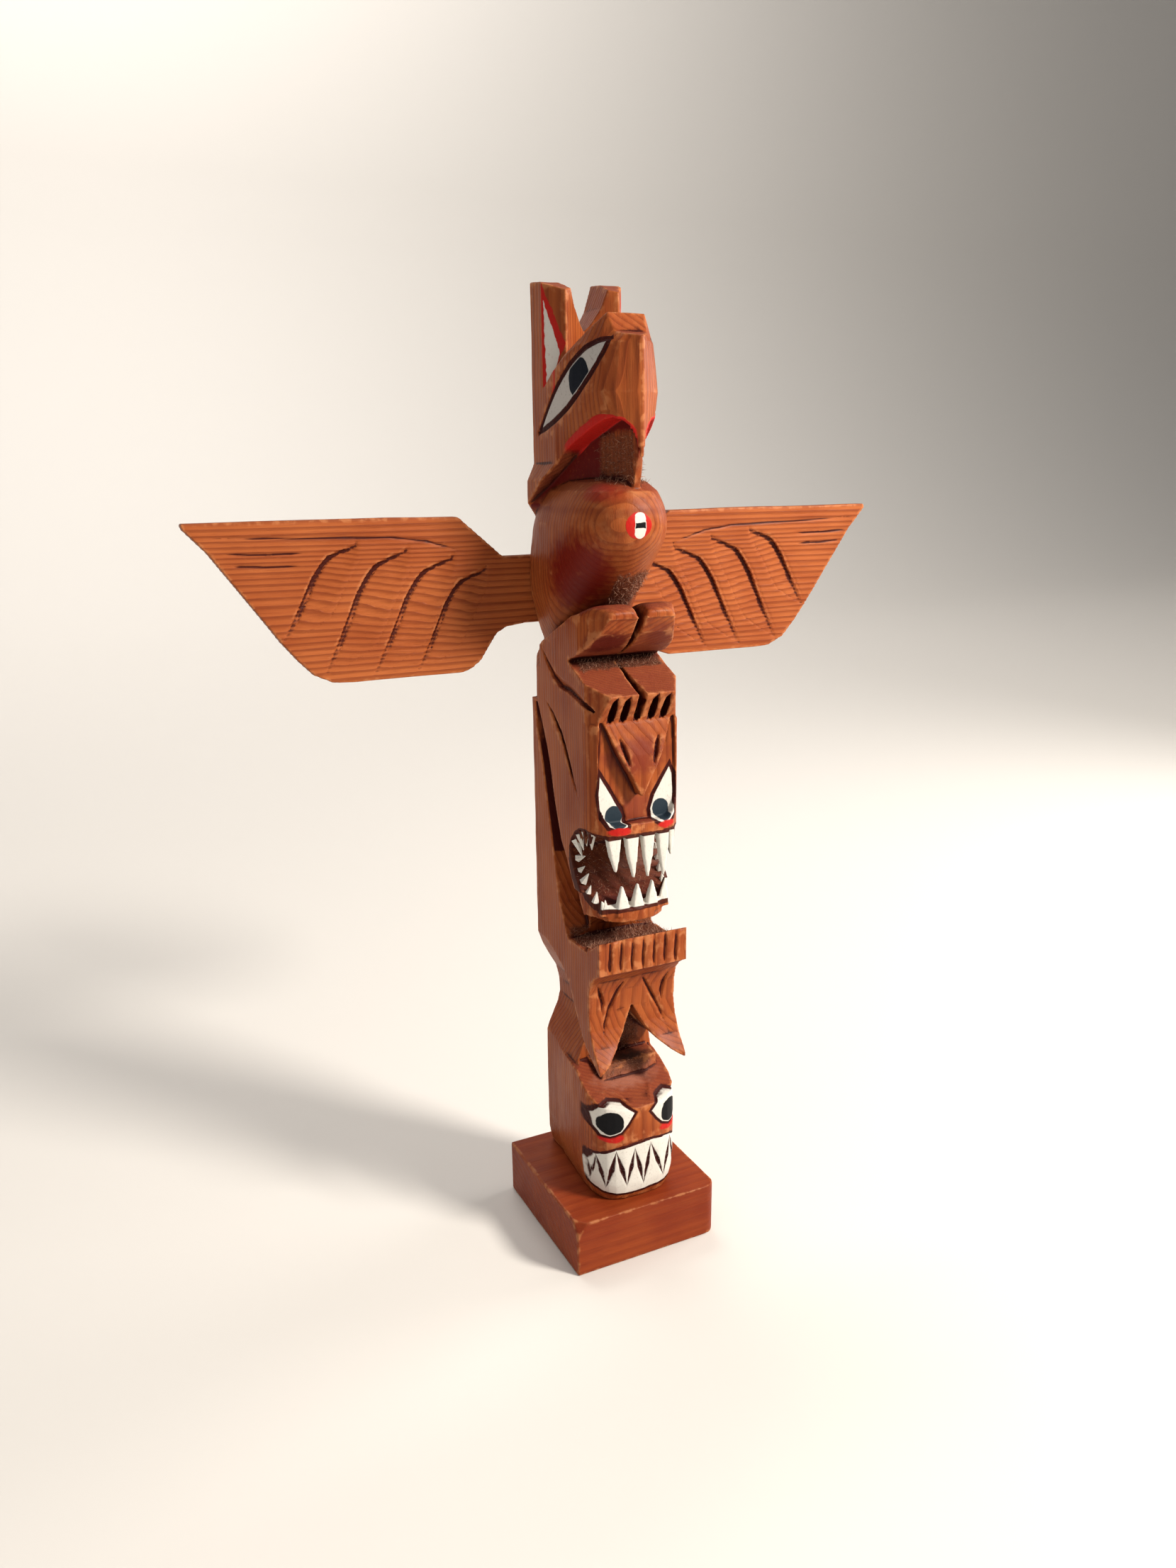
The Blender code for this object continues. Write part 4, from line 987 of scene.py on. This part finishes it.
@dataclass
class Workpiece:
    """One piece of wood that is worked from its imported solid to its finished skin."""

    node: str
    name: str
    slot: str
    wood: Cedar
    voxel: float
    faces: int
    mark_depth: float
    mark_size: float
    wobble: float
    ring_depth: float
    ring_spacing: float
    stretch: Spot
    seed: float
    soften: int = 2
    reach: float = 11.0
    rays: int = 14
    lines: tuple[KnifeLine, ...] = ()
    eased: tuple[tuple[Spot, Spot, int], ...] = ()

    def blank(self, frame: dict) -> bpy.types.Object:
        """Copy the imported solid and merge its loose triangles."""
        mesh = frame["nodes"][self.node].data.copy()
        mesh.name = self.name
        mesh.materials.clear()
        work = bmesh.new()
        work.from_mesh(mesh)
        bmesh.ops.remove_doubles(work, verts=work.verts, dist=WELD)
        work.to_mesh(mesh)
        work.free()
        piece = bpy.data.objects.new(self.name, mesh)
        bpy.context.scene.collection.objects.link(piece)
        return piece

    def carve(self, piece: bpy.types.Object, material: bpy.types.Material) -> None:
        """Give the blank one even skin, worn arrises, knife marks and fine cuts."""
        skin = piece.modifiers.new("even skin", "REMESH")
        skin.mode = "VOXEL"
        skin.voxel_size = self.voxel * 1.0
        soft = piece.modifiers.new("worn arrises", "SMOOTH")
        soft.factor = 0.5
        soft.iterations = self.soften
        add_tree(piece, knife_marks(), {
            "Mark Depth": self.mark_depth * MM,
            "Mark Size": self.mark_size * MM,
            "Wobble": self.wobble * MM,
            "Ring Depth": self.ring_depth * MM,
            "Ring Spacing": self.ring_spacing * MM,
            "Stretch": self.stretch,
            "Seed": self.seed,
            "Material": material,
        })
        settled(piece)
        self.ease(piece)
        self.cut_lines(piece)
        triangles = sum(len(p.vertices) - 2 for p in piece.data.polygons)
        thin = piece.modifiers.new("fewer faces", "DECIMATE")
        thin.ratio = min(1.0, self.faces / triangles)
        settled(piece)
        piece.data.shade_smooth()

    def ease(self, piece: bpy.types.Object) -> None:
        """Sand the round zones until no facet shows, and leave their borders alone."""
        mesh = piece.data
        places = read_vectors(mesh.vertices, "co")
        a, b = edge_ends(mesh)
        for low, high, passes in self.eased:
            inside = np.all((places > np.array(low) * MM) & (places < np.array(high) * MM), axis=1)
            free = inside.copy()
            free[a[~inside[b]]] = False
            free[b[~inside[a]]] = False
            number = np.cumsum(inside) - 1
            both = inside[a] & inside[b]
            ends, others = number[a[both]], number[b[both]]
            zone, still = places[inside], ~free[inside]
            size = len(zone)
            count = np.bincount(ends, minlength=size) + np.bincount(others, minlength=size) + 1.0
            for _ in range(passes):
                moved = zone.copy()
                for i in range(3):
                    moved[:, i] += np.bincount(ends, zone[others, i], size)
                    moved[:, i] += np.bincount(others, zone[ends, i], size)
                zone = np.where(still[:, None], zone, moved / count[:, None])
            places[inside] = zone
        mesh.vertices.foreach_set("co", places.astype(np.float32).ravel())
        mesh.update()

    def cut_lines(self, piece: bpy.types.Object) -> None:
        """Press the knife lines into the skin."""
        mesh = piece.data
        places = read_vectors(mesh.vertices, "co") / MM
        normals = read_vectors(mesh.vertices, "normal")
        moved = np.zeros(len(places))
        for line in self.lines:
            moved += line.press(places)
        places += normals * moved[:, None]
        mesh.vertices.foreach_set("co", (places * MM).astype(np.float32).ravel())
        mesh.update()

    def measure(self, piece: bpy.types.Object) -> None:
        """Store how shut in and how sunk or proud each place of the skin is: the measures for its painted
        shade, and for its wear and painted highlight.
        """
        mesh = piece.data
        places = read_vectors(mesh.vertices, "co")
        normals = read_vectors(mesh.vertices, "normal")
        store(mesh, "recess", smoothed(mesh, self.recess_of(mesh, places, normals), 2))
        sink = sunk_below(mesh, places, normals, 5) / MM
        store(mesh, "hollow", np.clip(smoothed(mesh, sink, 1) / HOLLOW_DEPTH, 0.0, 1.0))
        store(mesh, "worn", np.clip(smoothed(mesh, -sink, 1) / WEAR_AND_HIGHLIGHT_HEIGHT, 0.0, 1.0))

    def recess_of(self, mesh: bpy.types.Mesh, places: np.ndarray, normals: np.ndarray) -> np.ndarray:
        """The share of the view from each place that the piece itself blocks nearby, which sets how much
        painted shade it takes.
        """
        work = bmesh.new()
        work.from_mesh(mesh)
        tree = BVHTree.FromBMesh(work)
        work.free()
        rays = self.rays
        fan = []
        for i in range(rays):
            height = 0.15 + 0.85 * (i + 0.5) / rays
            ring = math.sqrt(1.0 - height * height)
            turn = i * math.pi * (3.0 - math.sqrt(5.0))
            fan.append((ring * math.cos(turn), ring * math.sin(turn), height))
        blocked = np.zeros(len(places))
        reach = self.reach * MM
        for i, (place, normal) in enumerate(zip(places, normals)):
            up = Vector(normal)
            side = up.orthogonal().normalized()
            fore = up.cross(side)
            start = Vector(place) + up * RAY_LIFT
            near = 0.0
            for a, b, c in fan:
                hit = tree.ray_cast(start, side * a + fore * b + up * c, reach)
                if hit[0] is not None:
                    near += c * (1.0 - hit[3] / reach)
            blocked[i] = near
        return np.clip(blocked / sum(c for _, _, c in fan) * 1.5, 0.0, 1.0)

    def dress(self, frame: dict) -> bpy.types.Object:
        """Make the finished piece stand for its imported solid."""
        material, bench = new_material(self.wood.name)
        coat = self.wood.lay(Canvas(bench))
        self.paint(coat)
        connect(material, coat, self.wood)
        piece = self.blank(frame)
        self.carve(piece, material)
        self.measure(piece)
        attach(piece, BODY)
        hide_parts(self.node)
        log.info("%s: %d faces", piece.name, len(piece.data.polygons))
        return piece

    def paint(self, coat: Coat) -> None:
        """Bare wood takes no paint."""


def read_vectors(items: bpy.types.bpy_prop_collection, name: str) -> np.ndarray:
    """Read one vector of every item as rows of numbers."""
    flat = np.zeros(len(items) * 3, np.float32)
    items.foreach_get(name, flat)
    return flat.reshape(-1, 3).astype(float)


def store(mesh: bpy.types.Mesh, name: str, values: np.ndarray) -> None:
    """Keep one number for each place of a mesh."""
    attribute = mesh.attributes.new(name, "FLOAT", "POINT")
    attribute.data.foreach_set("value", values.astype(np.float32))


def edge_ends(mesh: bpy.types.Mesh) -> tuple[np.ndarray, np.ndarray]:
    """The two ends of every edge of a mesh."""
    flat = np.zeros(len(mesh.edges) * 2, np.int32)
    mesh.edges.foreach_get("vertices", flat)
    return flat[0::2], flat[1::2]


def smoothed(mesh: bpy.types.Mesh, values: np.ndarray, passes: int) -> np.ndarray:
    """Even out values between neighbours."""
    a, b = edge_ends(mesh)
    count = np.bincount(a, minlength=len(values)) + np.bincount(b, minlength=len(values)) + 1.0
    for _ in range(passes):
        total = values + np.bincount(a, values[b], len(values)) + np.bincount(b, values[a], len(values))
        values = total / count
    return values


def sunk_below(mesh: bpy.types.Mesh, places: np.ndarray, normals: np.ndarray, passes: int) -> np.ndarray:
    """How far each place lies below the evened skin, or above it where negative."""
    evened = np.column_stack([smoothed(mesh, places[:, axis], passes) for axis in range(3)])
    return np.einsum("ij,ij->i", evened - places, normals)


POLE_LINES = (
    *(
        KnifeLine(
            Plane.FRONT, ((x + 0.7, 187.0), (x + 0.2, 183.5), (x - 0.3, 178.6)),
            3.2, 1.1, (-14.0, -26.0, 178.0), (14.0, -17.6, 187.4),
        )
        for x in CLAW_GAPS
    ),
    KnifeLine(Plane.SIDE, almond_outline(), 2.0, 0.75, (-20.0, -19.5, 255.0), (-4.0, 21.0, 289.5), True),
    KnifeLine(
        Plane.SIDE,
        ((4.0, 257.4), (-2.0, 260.9), (-8.0, 263.8), (-14.0, 266.6), (-18.0, 266.9), (-21.0, 264.0)),
        0.9, 0.18, (-20.0, -22.5, 256.0), (-2.0, 5.0, 268.5), True,
    ),
    KnifeLine(
        Plane.SIDE, ((10.6, 180.2), (4.2, 175.0), (-0.9, 169.4), (-4.7, 162.9), (-8.6, 156.4)),
        2.3, 0.9, (-20.0, -13.0, 152.0), (-13.6, 15.0, 183.0), True,
    ),
    *(
        KnifeLine(Plane.FRONT, grown(drop, 0.55), 1.3, 0.5, (-13.2, -20.0, 147.9), (13.2, -16.0, 166.0))
        for drop, _, _ in WOLF_EYES
    ),
    *(
        KnifeLine(Plane.FRONT, grown(almond, 0.6), 1.5, 0.55, (-15.9, -25.0, 41.0), (15.9, -9.0, 56.0))
        for almond, _, _ in MASK_EYES
    ),
    *(
        KnifeLine(
            Plane.FRONT,
            tuple(
                (side * x, z)
                for x, z in ((16.0, 52.6), (13.6, 54.8), (10.0, 55.3), (6.2, 54.7), (2.4, 51.8))
            ),
            1.5, -0.25, (-16.0, -25.0, 49.0), (16.0, -9.0, 56.2),
        )
        for side in (-1.0, 1.0)
    ),
    KnifeLine(
        Plane.FRONT,
        ((-15.0, 33.0), (-13.1, 37.3), (-7.0, 39.5), (0.0, 40.2), (7.0, 39.5), (13.1, 37.3), (15.0, 33.0)),
        1.1, 0.35, (-16.0, -25.0, 30.0), (16.0, -9.0, 42.0),
    ),
)


@dataclass
class CarvedPole(Workpiece):
    """The stick with the bird, the wolf and the mask."""

    node: str = "carved_pole"
    name: str = "carved_pole_skin"
    slot: str = "pole_wood"
    wood: Cedar = POLE_WOOD
    voxel: float = 0.00036
    faces: int = 192000
    soften: int = 1
    mark_depth: float = 0.22
    mark_size: float = 5.5
    wobble: float = 0.36
    ring_depth: float = 0.0
    ring_spacing: float = 1.9
    stretch: Spot = (1.0, 1.0, 0.55)
    seed: float = 2.0
    lines: tuple[KnifeLine, ...] = POLE_LINES
    fibre_density: float = 2.6e6
    fibre_length: float = 1.5
    fibre_thickness: float = 0.075
    eased: tuple[tuple[Spot, Spot, int], ...] = (
        ((-15.6, -24.0, 209.5), (15.6, 9.0, 243.5), EASE_PASSES),
    )

    def paint(self, coat: Coat) -> None:
        """Paint the three faces."""
        PolePaint(coat).all_over()

    def torn_places(self, piece: bpy.types.Object) -> None:
        """Mark where the knife left torn end grain."""
        mesh = piece.data
        places = read_vectors(mesh.vertices, "co") / MM
        normals = read_vectors(mesh.vertices, "normal")
        torn = np.zeros(len(places))
        for low, high, facing, share in TORN_PLACES:
            inside = np.all((places > np.array(low)) & (places < np.array(high)), axis=1)
            torn = np.maximum(torn, inside * (normals @ np.array(facing) > 0.3) * share)
        store(mesh, "torn", torn)

    def fibres(self, piece: bpy.types.Object) -> bpy.types.Object:
        """Stand the torn fibres on their places as a piece of their own."""
        self.torn_places(piece)
        fuzz = bpy.data.objects.new("torn_fibres", piece.data.copy())
        bpy.context.scene.collection.objects.link(fuzz)
        add_tree(fuzz, torn_fibres(), {
            "Density": self.fibre_density,
            "Length": self.fibre_length * MM,
            "Thickness": self.fibre_thickness * MM,
            "Lean": 1.0,
            "Seed": 7,
            "Material": fibre_material(),
        })
        settled(fuzz)
        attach(fuzz, BODY)
        log.info("%s: %d faces", fuzz.name, len(fuzz.data.polygons))
        return fuzz

    def jaw_teeth(self) -> None:
        """The small teeth along both sides of the jaws."""
        white = tooth_material()
        for teeth in TOOTH_ROWS:
            for label, side in (("_left", -1.0), ("_right", 1.0)):
                mesh = bpy.data.meshes.new(teeth.name + label)
                path = [(side * x * MM, y * MM, z * MM) for x, y, z in teeth.rim]
                mesh.from_pydata(path, [(i, i + 1) for i in range(len(path) - 1)], [])
                row = bpy.data.objects.new(teeth.name + label, mesh)
                bpy.context.scene.collection.objects.link(row)
                add_tree(row, teeth_on_path(), {
                    "Count": teeth.count,
                    "Half Width": teeth.half_width * MM,
                    "Height": teeth.height * MM,
                    "Point To": (side * teeth.aim[0] * MM, teeth.aim[1] * MM, teeth.aim[2] * MM),
                    "Seed": teeth.seed,
                    "Material": white,
                })
                settled(row)
                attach(row, BODY)
                log.info("%s: %d faces", row.name, len(row.data.polygons))


TORN_PLACES = (
    ((-7.0, -20.0, 247.0), (0.0, -6.0, 261.0), (-1.0, -0.2, 0.3), 0.6),
    ((0.0, -20.0, 247.0), (7.0, -6.0, 261.0), (1.0, -0.2, 0.3), 0.6),
    ((-13.0, -9.5, 192.5), (14.0, -2.0, 198.5), (0.0, -0.5, 0.85), 1.0),
    ((-3.0, -14.0, 208.0), (10.0, -3.0, 222.0), (0.0, -0.8, -0.4), 0.7),
    ((-14.5, -14.0, 120.0), (14.5, -3.0, 143.0), (0.0, -1.0, 0.0), 0.35),
    ((-14.5, -17.0, 104.0), (15.0, 6.0, 108.5), (0.0, 0.0, 1.0), 0.8),
    ((-9.0, -13.0, 58.0), (9.5, 0.0, 84.0), (0.0, -1.0, 0.2), 0.5),
)


@dataclass(frozen=True)
class ToothRow:
    """A row of small teeth along one side of the open mouth."""

    name: str
    rim: tuple[Spot, ...]
    count: int
    half_width: float
    height: float
    aim: Spot
    seed: int


TOOTH_ROWS = (
    ToothRow(
        "jaw_teeth",
        ((13.7, -5.7, 133.6), (13.8, -7.6, 129.4), (13.6, -10.6, 125.4), (12.7, -13.6, 122.2),
         (11.3, -16.2, 120.6), (10.0, -17.4, 120.0)),
        6, 1.25, 3.4, (10.0, -15.5, 138.0), 4,
    ),
    ToothRow(
        "lip_teeth",
        ((14.3, -5.6, 139.8), (14.3, -8.6, 142.8), (13.9, -11.8, 144.3), (13.3, -15.0, 144.5)),
        4, 1.45, 5.6, (12.2, -12.5, 128.0), 6,
    ),
)


@dataclass
class WingBoard(Workpiece):
    """The thin board with both wings."""

    node: str = "wing_board"
    name: str = "wing_board_skin"
    slot: str = "wing_wood"
    wood: Cedar = WING_WOOD
    voxel: float = 0.00045
    faces: int = 150000
    mark_depth: float = 0.10
    mark_size: float = 7.0
    wobble: float = 0.25
    ring_depth: float = 0.060
    ring_spacing: float = 1.25
    stretch: Spot = (0.35, 1.0, 1.0)
    seed: float = 11.0
    soften: int = 1
    rays: int = 10
    reach: float = 6.0

    def paint(self, coat: Coat) -> None:
        """Darken the steep walls of the gouged feathers and the short cuts with painted shade."""
        canvas = coat.canvas
        # Painted shade on cut walls that face sideways, up or down.
        wall_shade = (abs(canvas.facing_x) + abs(canvas.facing_z)).ramp(0.45, 1.0)
        inside = canvas.y.ramp(23.45, 23.7) * canvas.y.ramp(26.2, 26.0)
        coat.cover(CUT_SHADE, wall_shade * inside * 0.42)


WING_REACH = 118.5
SHOULDER = (
    (116.0, 234.0), (90.0, 233.1), (60.0, 232.4), (49.1, 231.0), (40.1, 228.4), (33.4, 225.3), (29.0, 221.5),
)
SHORT_CUTS = (((110.5, 229.5), (84.0, 228.7)), ((109.0, 226.1), (85.5, 225.3)))
FEATHER_ROOTS = ((67.8, 232.2), (52.2, 230.7), (37.8, 227.9), (27.5, 223.6))
FEATHER_TIPS = ((92.4, 203.0), (81.2, 191.7), (66.2, 190.8), (52.4, 190.9))
FEATHER_STEEP = (
    (0.0, 0.0), (0.07, 0.06), (0.2, 0.10), (0.39, 0.16), (0.48, 0.24), (0.59, 0.37), (0.72, 0.59),
    (0.85, 0.78), (1.0, 1.0),
)


FEATHER_SHALLOW = (
    (0.0, 0.0), (0.02, 0.10), (0.07, 0.22), (0.18, 0.36), (0.28, 0.49), (0.36, 0.62), (0.47, 0.76),
    (0.72, 0.88), (1.0, 1.0),
)


def wing_lines() -> tuple[KnifeLine, ...]:
    """The shoulder line, the short cuts and both edges of each feather."""
    lines = []
    for side in (-1.0, 1.0):
        low = (min(0.0, side * WING_REACH), 22.0, 186.0)
        high = (max(0.0, side * WING_REACH), 24.6, 239.0)
        above = (high[0], 26.0, high[2])
        shoulder = tuple((side * x, z) for x, z in SHOULDER)
        lines.append(KnifeLine(Plane.FRONT, shoulder, 1.2, 0.35, low, high))
        for start, end in SHORT_CUTS:
            middle = ((start[0] + end[0]) / 2, (start[1] + end[1]) / 2 - 0.3)
            cut = tuple((side * x, z) for x, z in (start, middle, end))
            lines.append(KnifeLine(Plane.FRONT, cut, 1.1, 0.42, low, high))
        for root, tip in zip(FEATHER_ROOTS, FEATHER_TIPS):
            for shares, width, depth in ((FEATHER_STEEP, 0.65, 0.28), (FEATHER_SHALLOW, 0.55, 0.20)):
                edge = tuple(
                    (side * (root[0] + u * (tip[0] - root[0])), root[1] + v * (tip[1] - root[1]))
                    for u, v in shares
                )
                lines.append(KnifeLine(Plane.FRONT, edge, width, depth, low, above))
    return tuple(lines)


@dataclass
class BaseBlock(Workpiece):
    """The square block under the stick."""

    node: str = "base_block"
    name: str = "base_block_skin"
    slot: str = "base_wood"
    wood: Cedar = BASE_WOOD
    voxel: float = 0.00045
    faces: int = 60000
    mark_depth: float = 0.10
    mark_size: float = 9.0
    wobble: float = 0.45
    ring_depth: float = 0.0
    ring_spacing: float = 2.0
    stretch: Spot = (0.6, 1.0, 1.0)
    seed: float = 21.0
    soften: int = 3
    rays: int = 8


def fibre_material() -> bpy.types.Material:
    """Torn wood fibres: dull, without varnish."""
    material, bench = new_material("torn_cedar")
    canvas = Canvas(bench)
    shade = bench.noise(canvas.place, 1.1, 2.0)
    colour = bench.mix(shade.ramp(0.3, 0.7), (0.13, 0.045, 0.026, 1.0), (0.42, 0.21, 0.13, 1.0))
    shader = material.node_tree.nodes["Principled BSDF"]
    bench.feed(shader.inputs["Base Color"], colour)
    bench.feed(shader.inputs["Roughness"], 0.75 + shade * 0.2)
    return material


def tooth_material() -> bpy.types.Material:
    """White paint on a carved tooth, thin in patches."""
    material, bench = new_material("tooth_white")
    canvas = Canvas(bench)
    thin = bench.noise(canvas.place, 1.4, 3.0)
    colour = bench.mix(thin.ramp(0.55, 0.75) * 0.5, WHITE.colour, (0.30, 0.20, 0.15, 1.0))
    shader = material.node_tree.nodes["Principled BSDF"]
    bench.feed(shader.inputs["Base Color"], colour)
    bench.feed(shader.inputs["Roughness"], 0.40 + thin * 0.15)
    relief = bench.node("ShaderNodeBump", None, {"Strength": 0.6, "Distance": 0.0002, "Height": thin})
    bench.feed(shader.inputs["Normal"], relief.outputs[0])
    return material


@dataclass(frozen=True)
class Lamp:
    """One round soft lamp: its place in millimetres, its size, power, colour and aim in metres."""

    name: str
    place: Spot
    size: float
    power: float
    colour: Spot
    aim: Spot = (0.0, 0.0, 0.15)


LAMPS = (
    Lamp("key", (500.0, -640.0, 680.0), 0.22, 15.0, (1.0, 0.93, 0.84)),
    Lamp("side", (760.0, 60.0, 420.0), 0.40, 3.0, (1.0, 0.95, 0.90)),
    Lamp("fill", (-700.0, -420.0, 420.0), 0.90, 1.15, (1.0, 0.96, 0.92)),
    Lamp("wall", (0.0, 1200.0, 2100.0), 1.60, 46.0, (1.0, 0.95, 0.90), (0.0, 2.2, 0.9)),
)


@dataclass
class Studio:
    """A pale sweep, soft lights and the camera at the photograph's place."""

    lens: float = 27.05
    sensor: float = 36.0
    camera_place: Spot = (-164.97, -321.67, 251.73)
    azimuth: float = -26.15
    pitch: float = 15.04
    roll: float = -0.67
    lamps: tuple[Lamp, ...] = LAMPS
    air_colour: Colour = (0.96, 0.93, 0.90, 1.0)
    air_strength: float = 0.26
    floor_colour: Colour = (0.66, 0.64, 0.61, 1.0)
    floor_roughness: float = 0.75

    def camera(self) -> None:
        """Put the camera where the photograph was taken."""
        turn, down = math.radians(self.azimuth), math.radians(self.pitch)
        ahead = Vector((-math.sin(turn) * math.cos(down), math.cos(turn) * math.cos(down), -math.sin(down)))
        right = Vector((math.cos(turn), math.sin(turn), 0.0))
        above = right.cross(ahead)
        c, s = math.cos(math.radians(self.roll)), math.sin(math.radians(self.roll))
        right, above = right * c + above * s, above * c - right * s
        data = bpy.data.cameras.new("camera")
        data.sensor_width = self.sensor
        data.lens = self.lens
        data.clip_start = 0.01
        camera = bpy.data.objects.new("camera", data)
        axes = Matrix((right, above, -ahead)).transposed().to_4x4()
        camera.matrix_world = Matrix.Translation(Vector(self.camera_place) * MM) @ axes
        bpy.context.scene.collection.objects.link(camera)
        bpy.context.scene.camera = camera

    def lights(self) -> None:
        """Hang the lamps and light the air."""
        for lamp in self.lamps:
            data = bpy.data.lights.new(lamp.name, "AREA")
            data.shape = "DISK"
            data.size = lamp.size
            data.energy = lamp.power
            data.color = lamp.colour
            hung = bpy.data.objects.new(lamp.name, data)
            hung.location = Vector(lamp.place) * MM
            hung.rotation_euler = (Vector(lamp.aim) - hung.location).to_track_quat("-Z", "Y").to_euler()
            bpy.context.scene.collection.objects.link(hung)
        world = bpy.data.worlds.new("studio")
        world.use_nodes = True
        air = world.node_tree.nodes["Background"]
        air.inputs["Color"].default_value = self.air_colour
        air.inputs["Strength"].default_value = self.air_strength
        bpy.context.scene.world = world

    def sweep(self) -> None:
        """Lay a pale floor that curves up behind the object."""
        near, far, side, bend, top = -3.0, 2.2, 4.0, 0.8, 3.5
        profile = [(near, 0.0), (far - bend, 0.0)]
        steps = 12
        for i in range(1, steps + 1):
            angle = math.pi / 2 * i / steps
            profile.append((far - bend + bend * math.sin(angle), bend * (1.0 - math.cos(angle))))
        profile.append((far, top))
        mesh = bpy.data.meshes.new("sweep")
        places = [(x, y, z) for x in (-side, side) for y, z in profile]
        count = len(profile)
        mesh.from_pydata(places, [], [(i, i + count, i + count + 1, i + 1) for i in range(count - 1)])
        mesh.shade_smooth()
        floor = bpy.data.objects.new("sweep", mesh)
        material, _ = new_material("pale_sweep")
        shader = material.node_tree.nodes["Principled BSDF"]
        shader.inputs["Base Color"].default_value = self.floor_colour
        shader.inputs["Roughness"].default_value = self.floor_roughness
        mesh.materials.append(material)
        bpy.context.scene.collection.objects.link(floor)


def main() -> None:
    """Build the studio and every piece."""
    logging.basicConfig(level=logging.INFO, format="%(name)s %(message)s")
    for item in list(bpy.data.objects):
        bpy.data.objects.remove(item, do_unlink=True)
    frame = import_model()
    bpy.context.scene.view_settings.view_transform = "Standard"
    studio = Studio()
    studio.camera()
    studio.lights()
    studio.sweep()
    pole = CarvedPole()
    skin = pole.dress(frame)
    pole.fibres(skin)
    pole.jaw_teeth()
    WingBoard(lines=wing_lines()).dress(frame)
    BaseBlock().dress(frame)


if __name__ == "__main__":
    main()
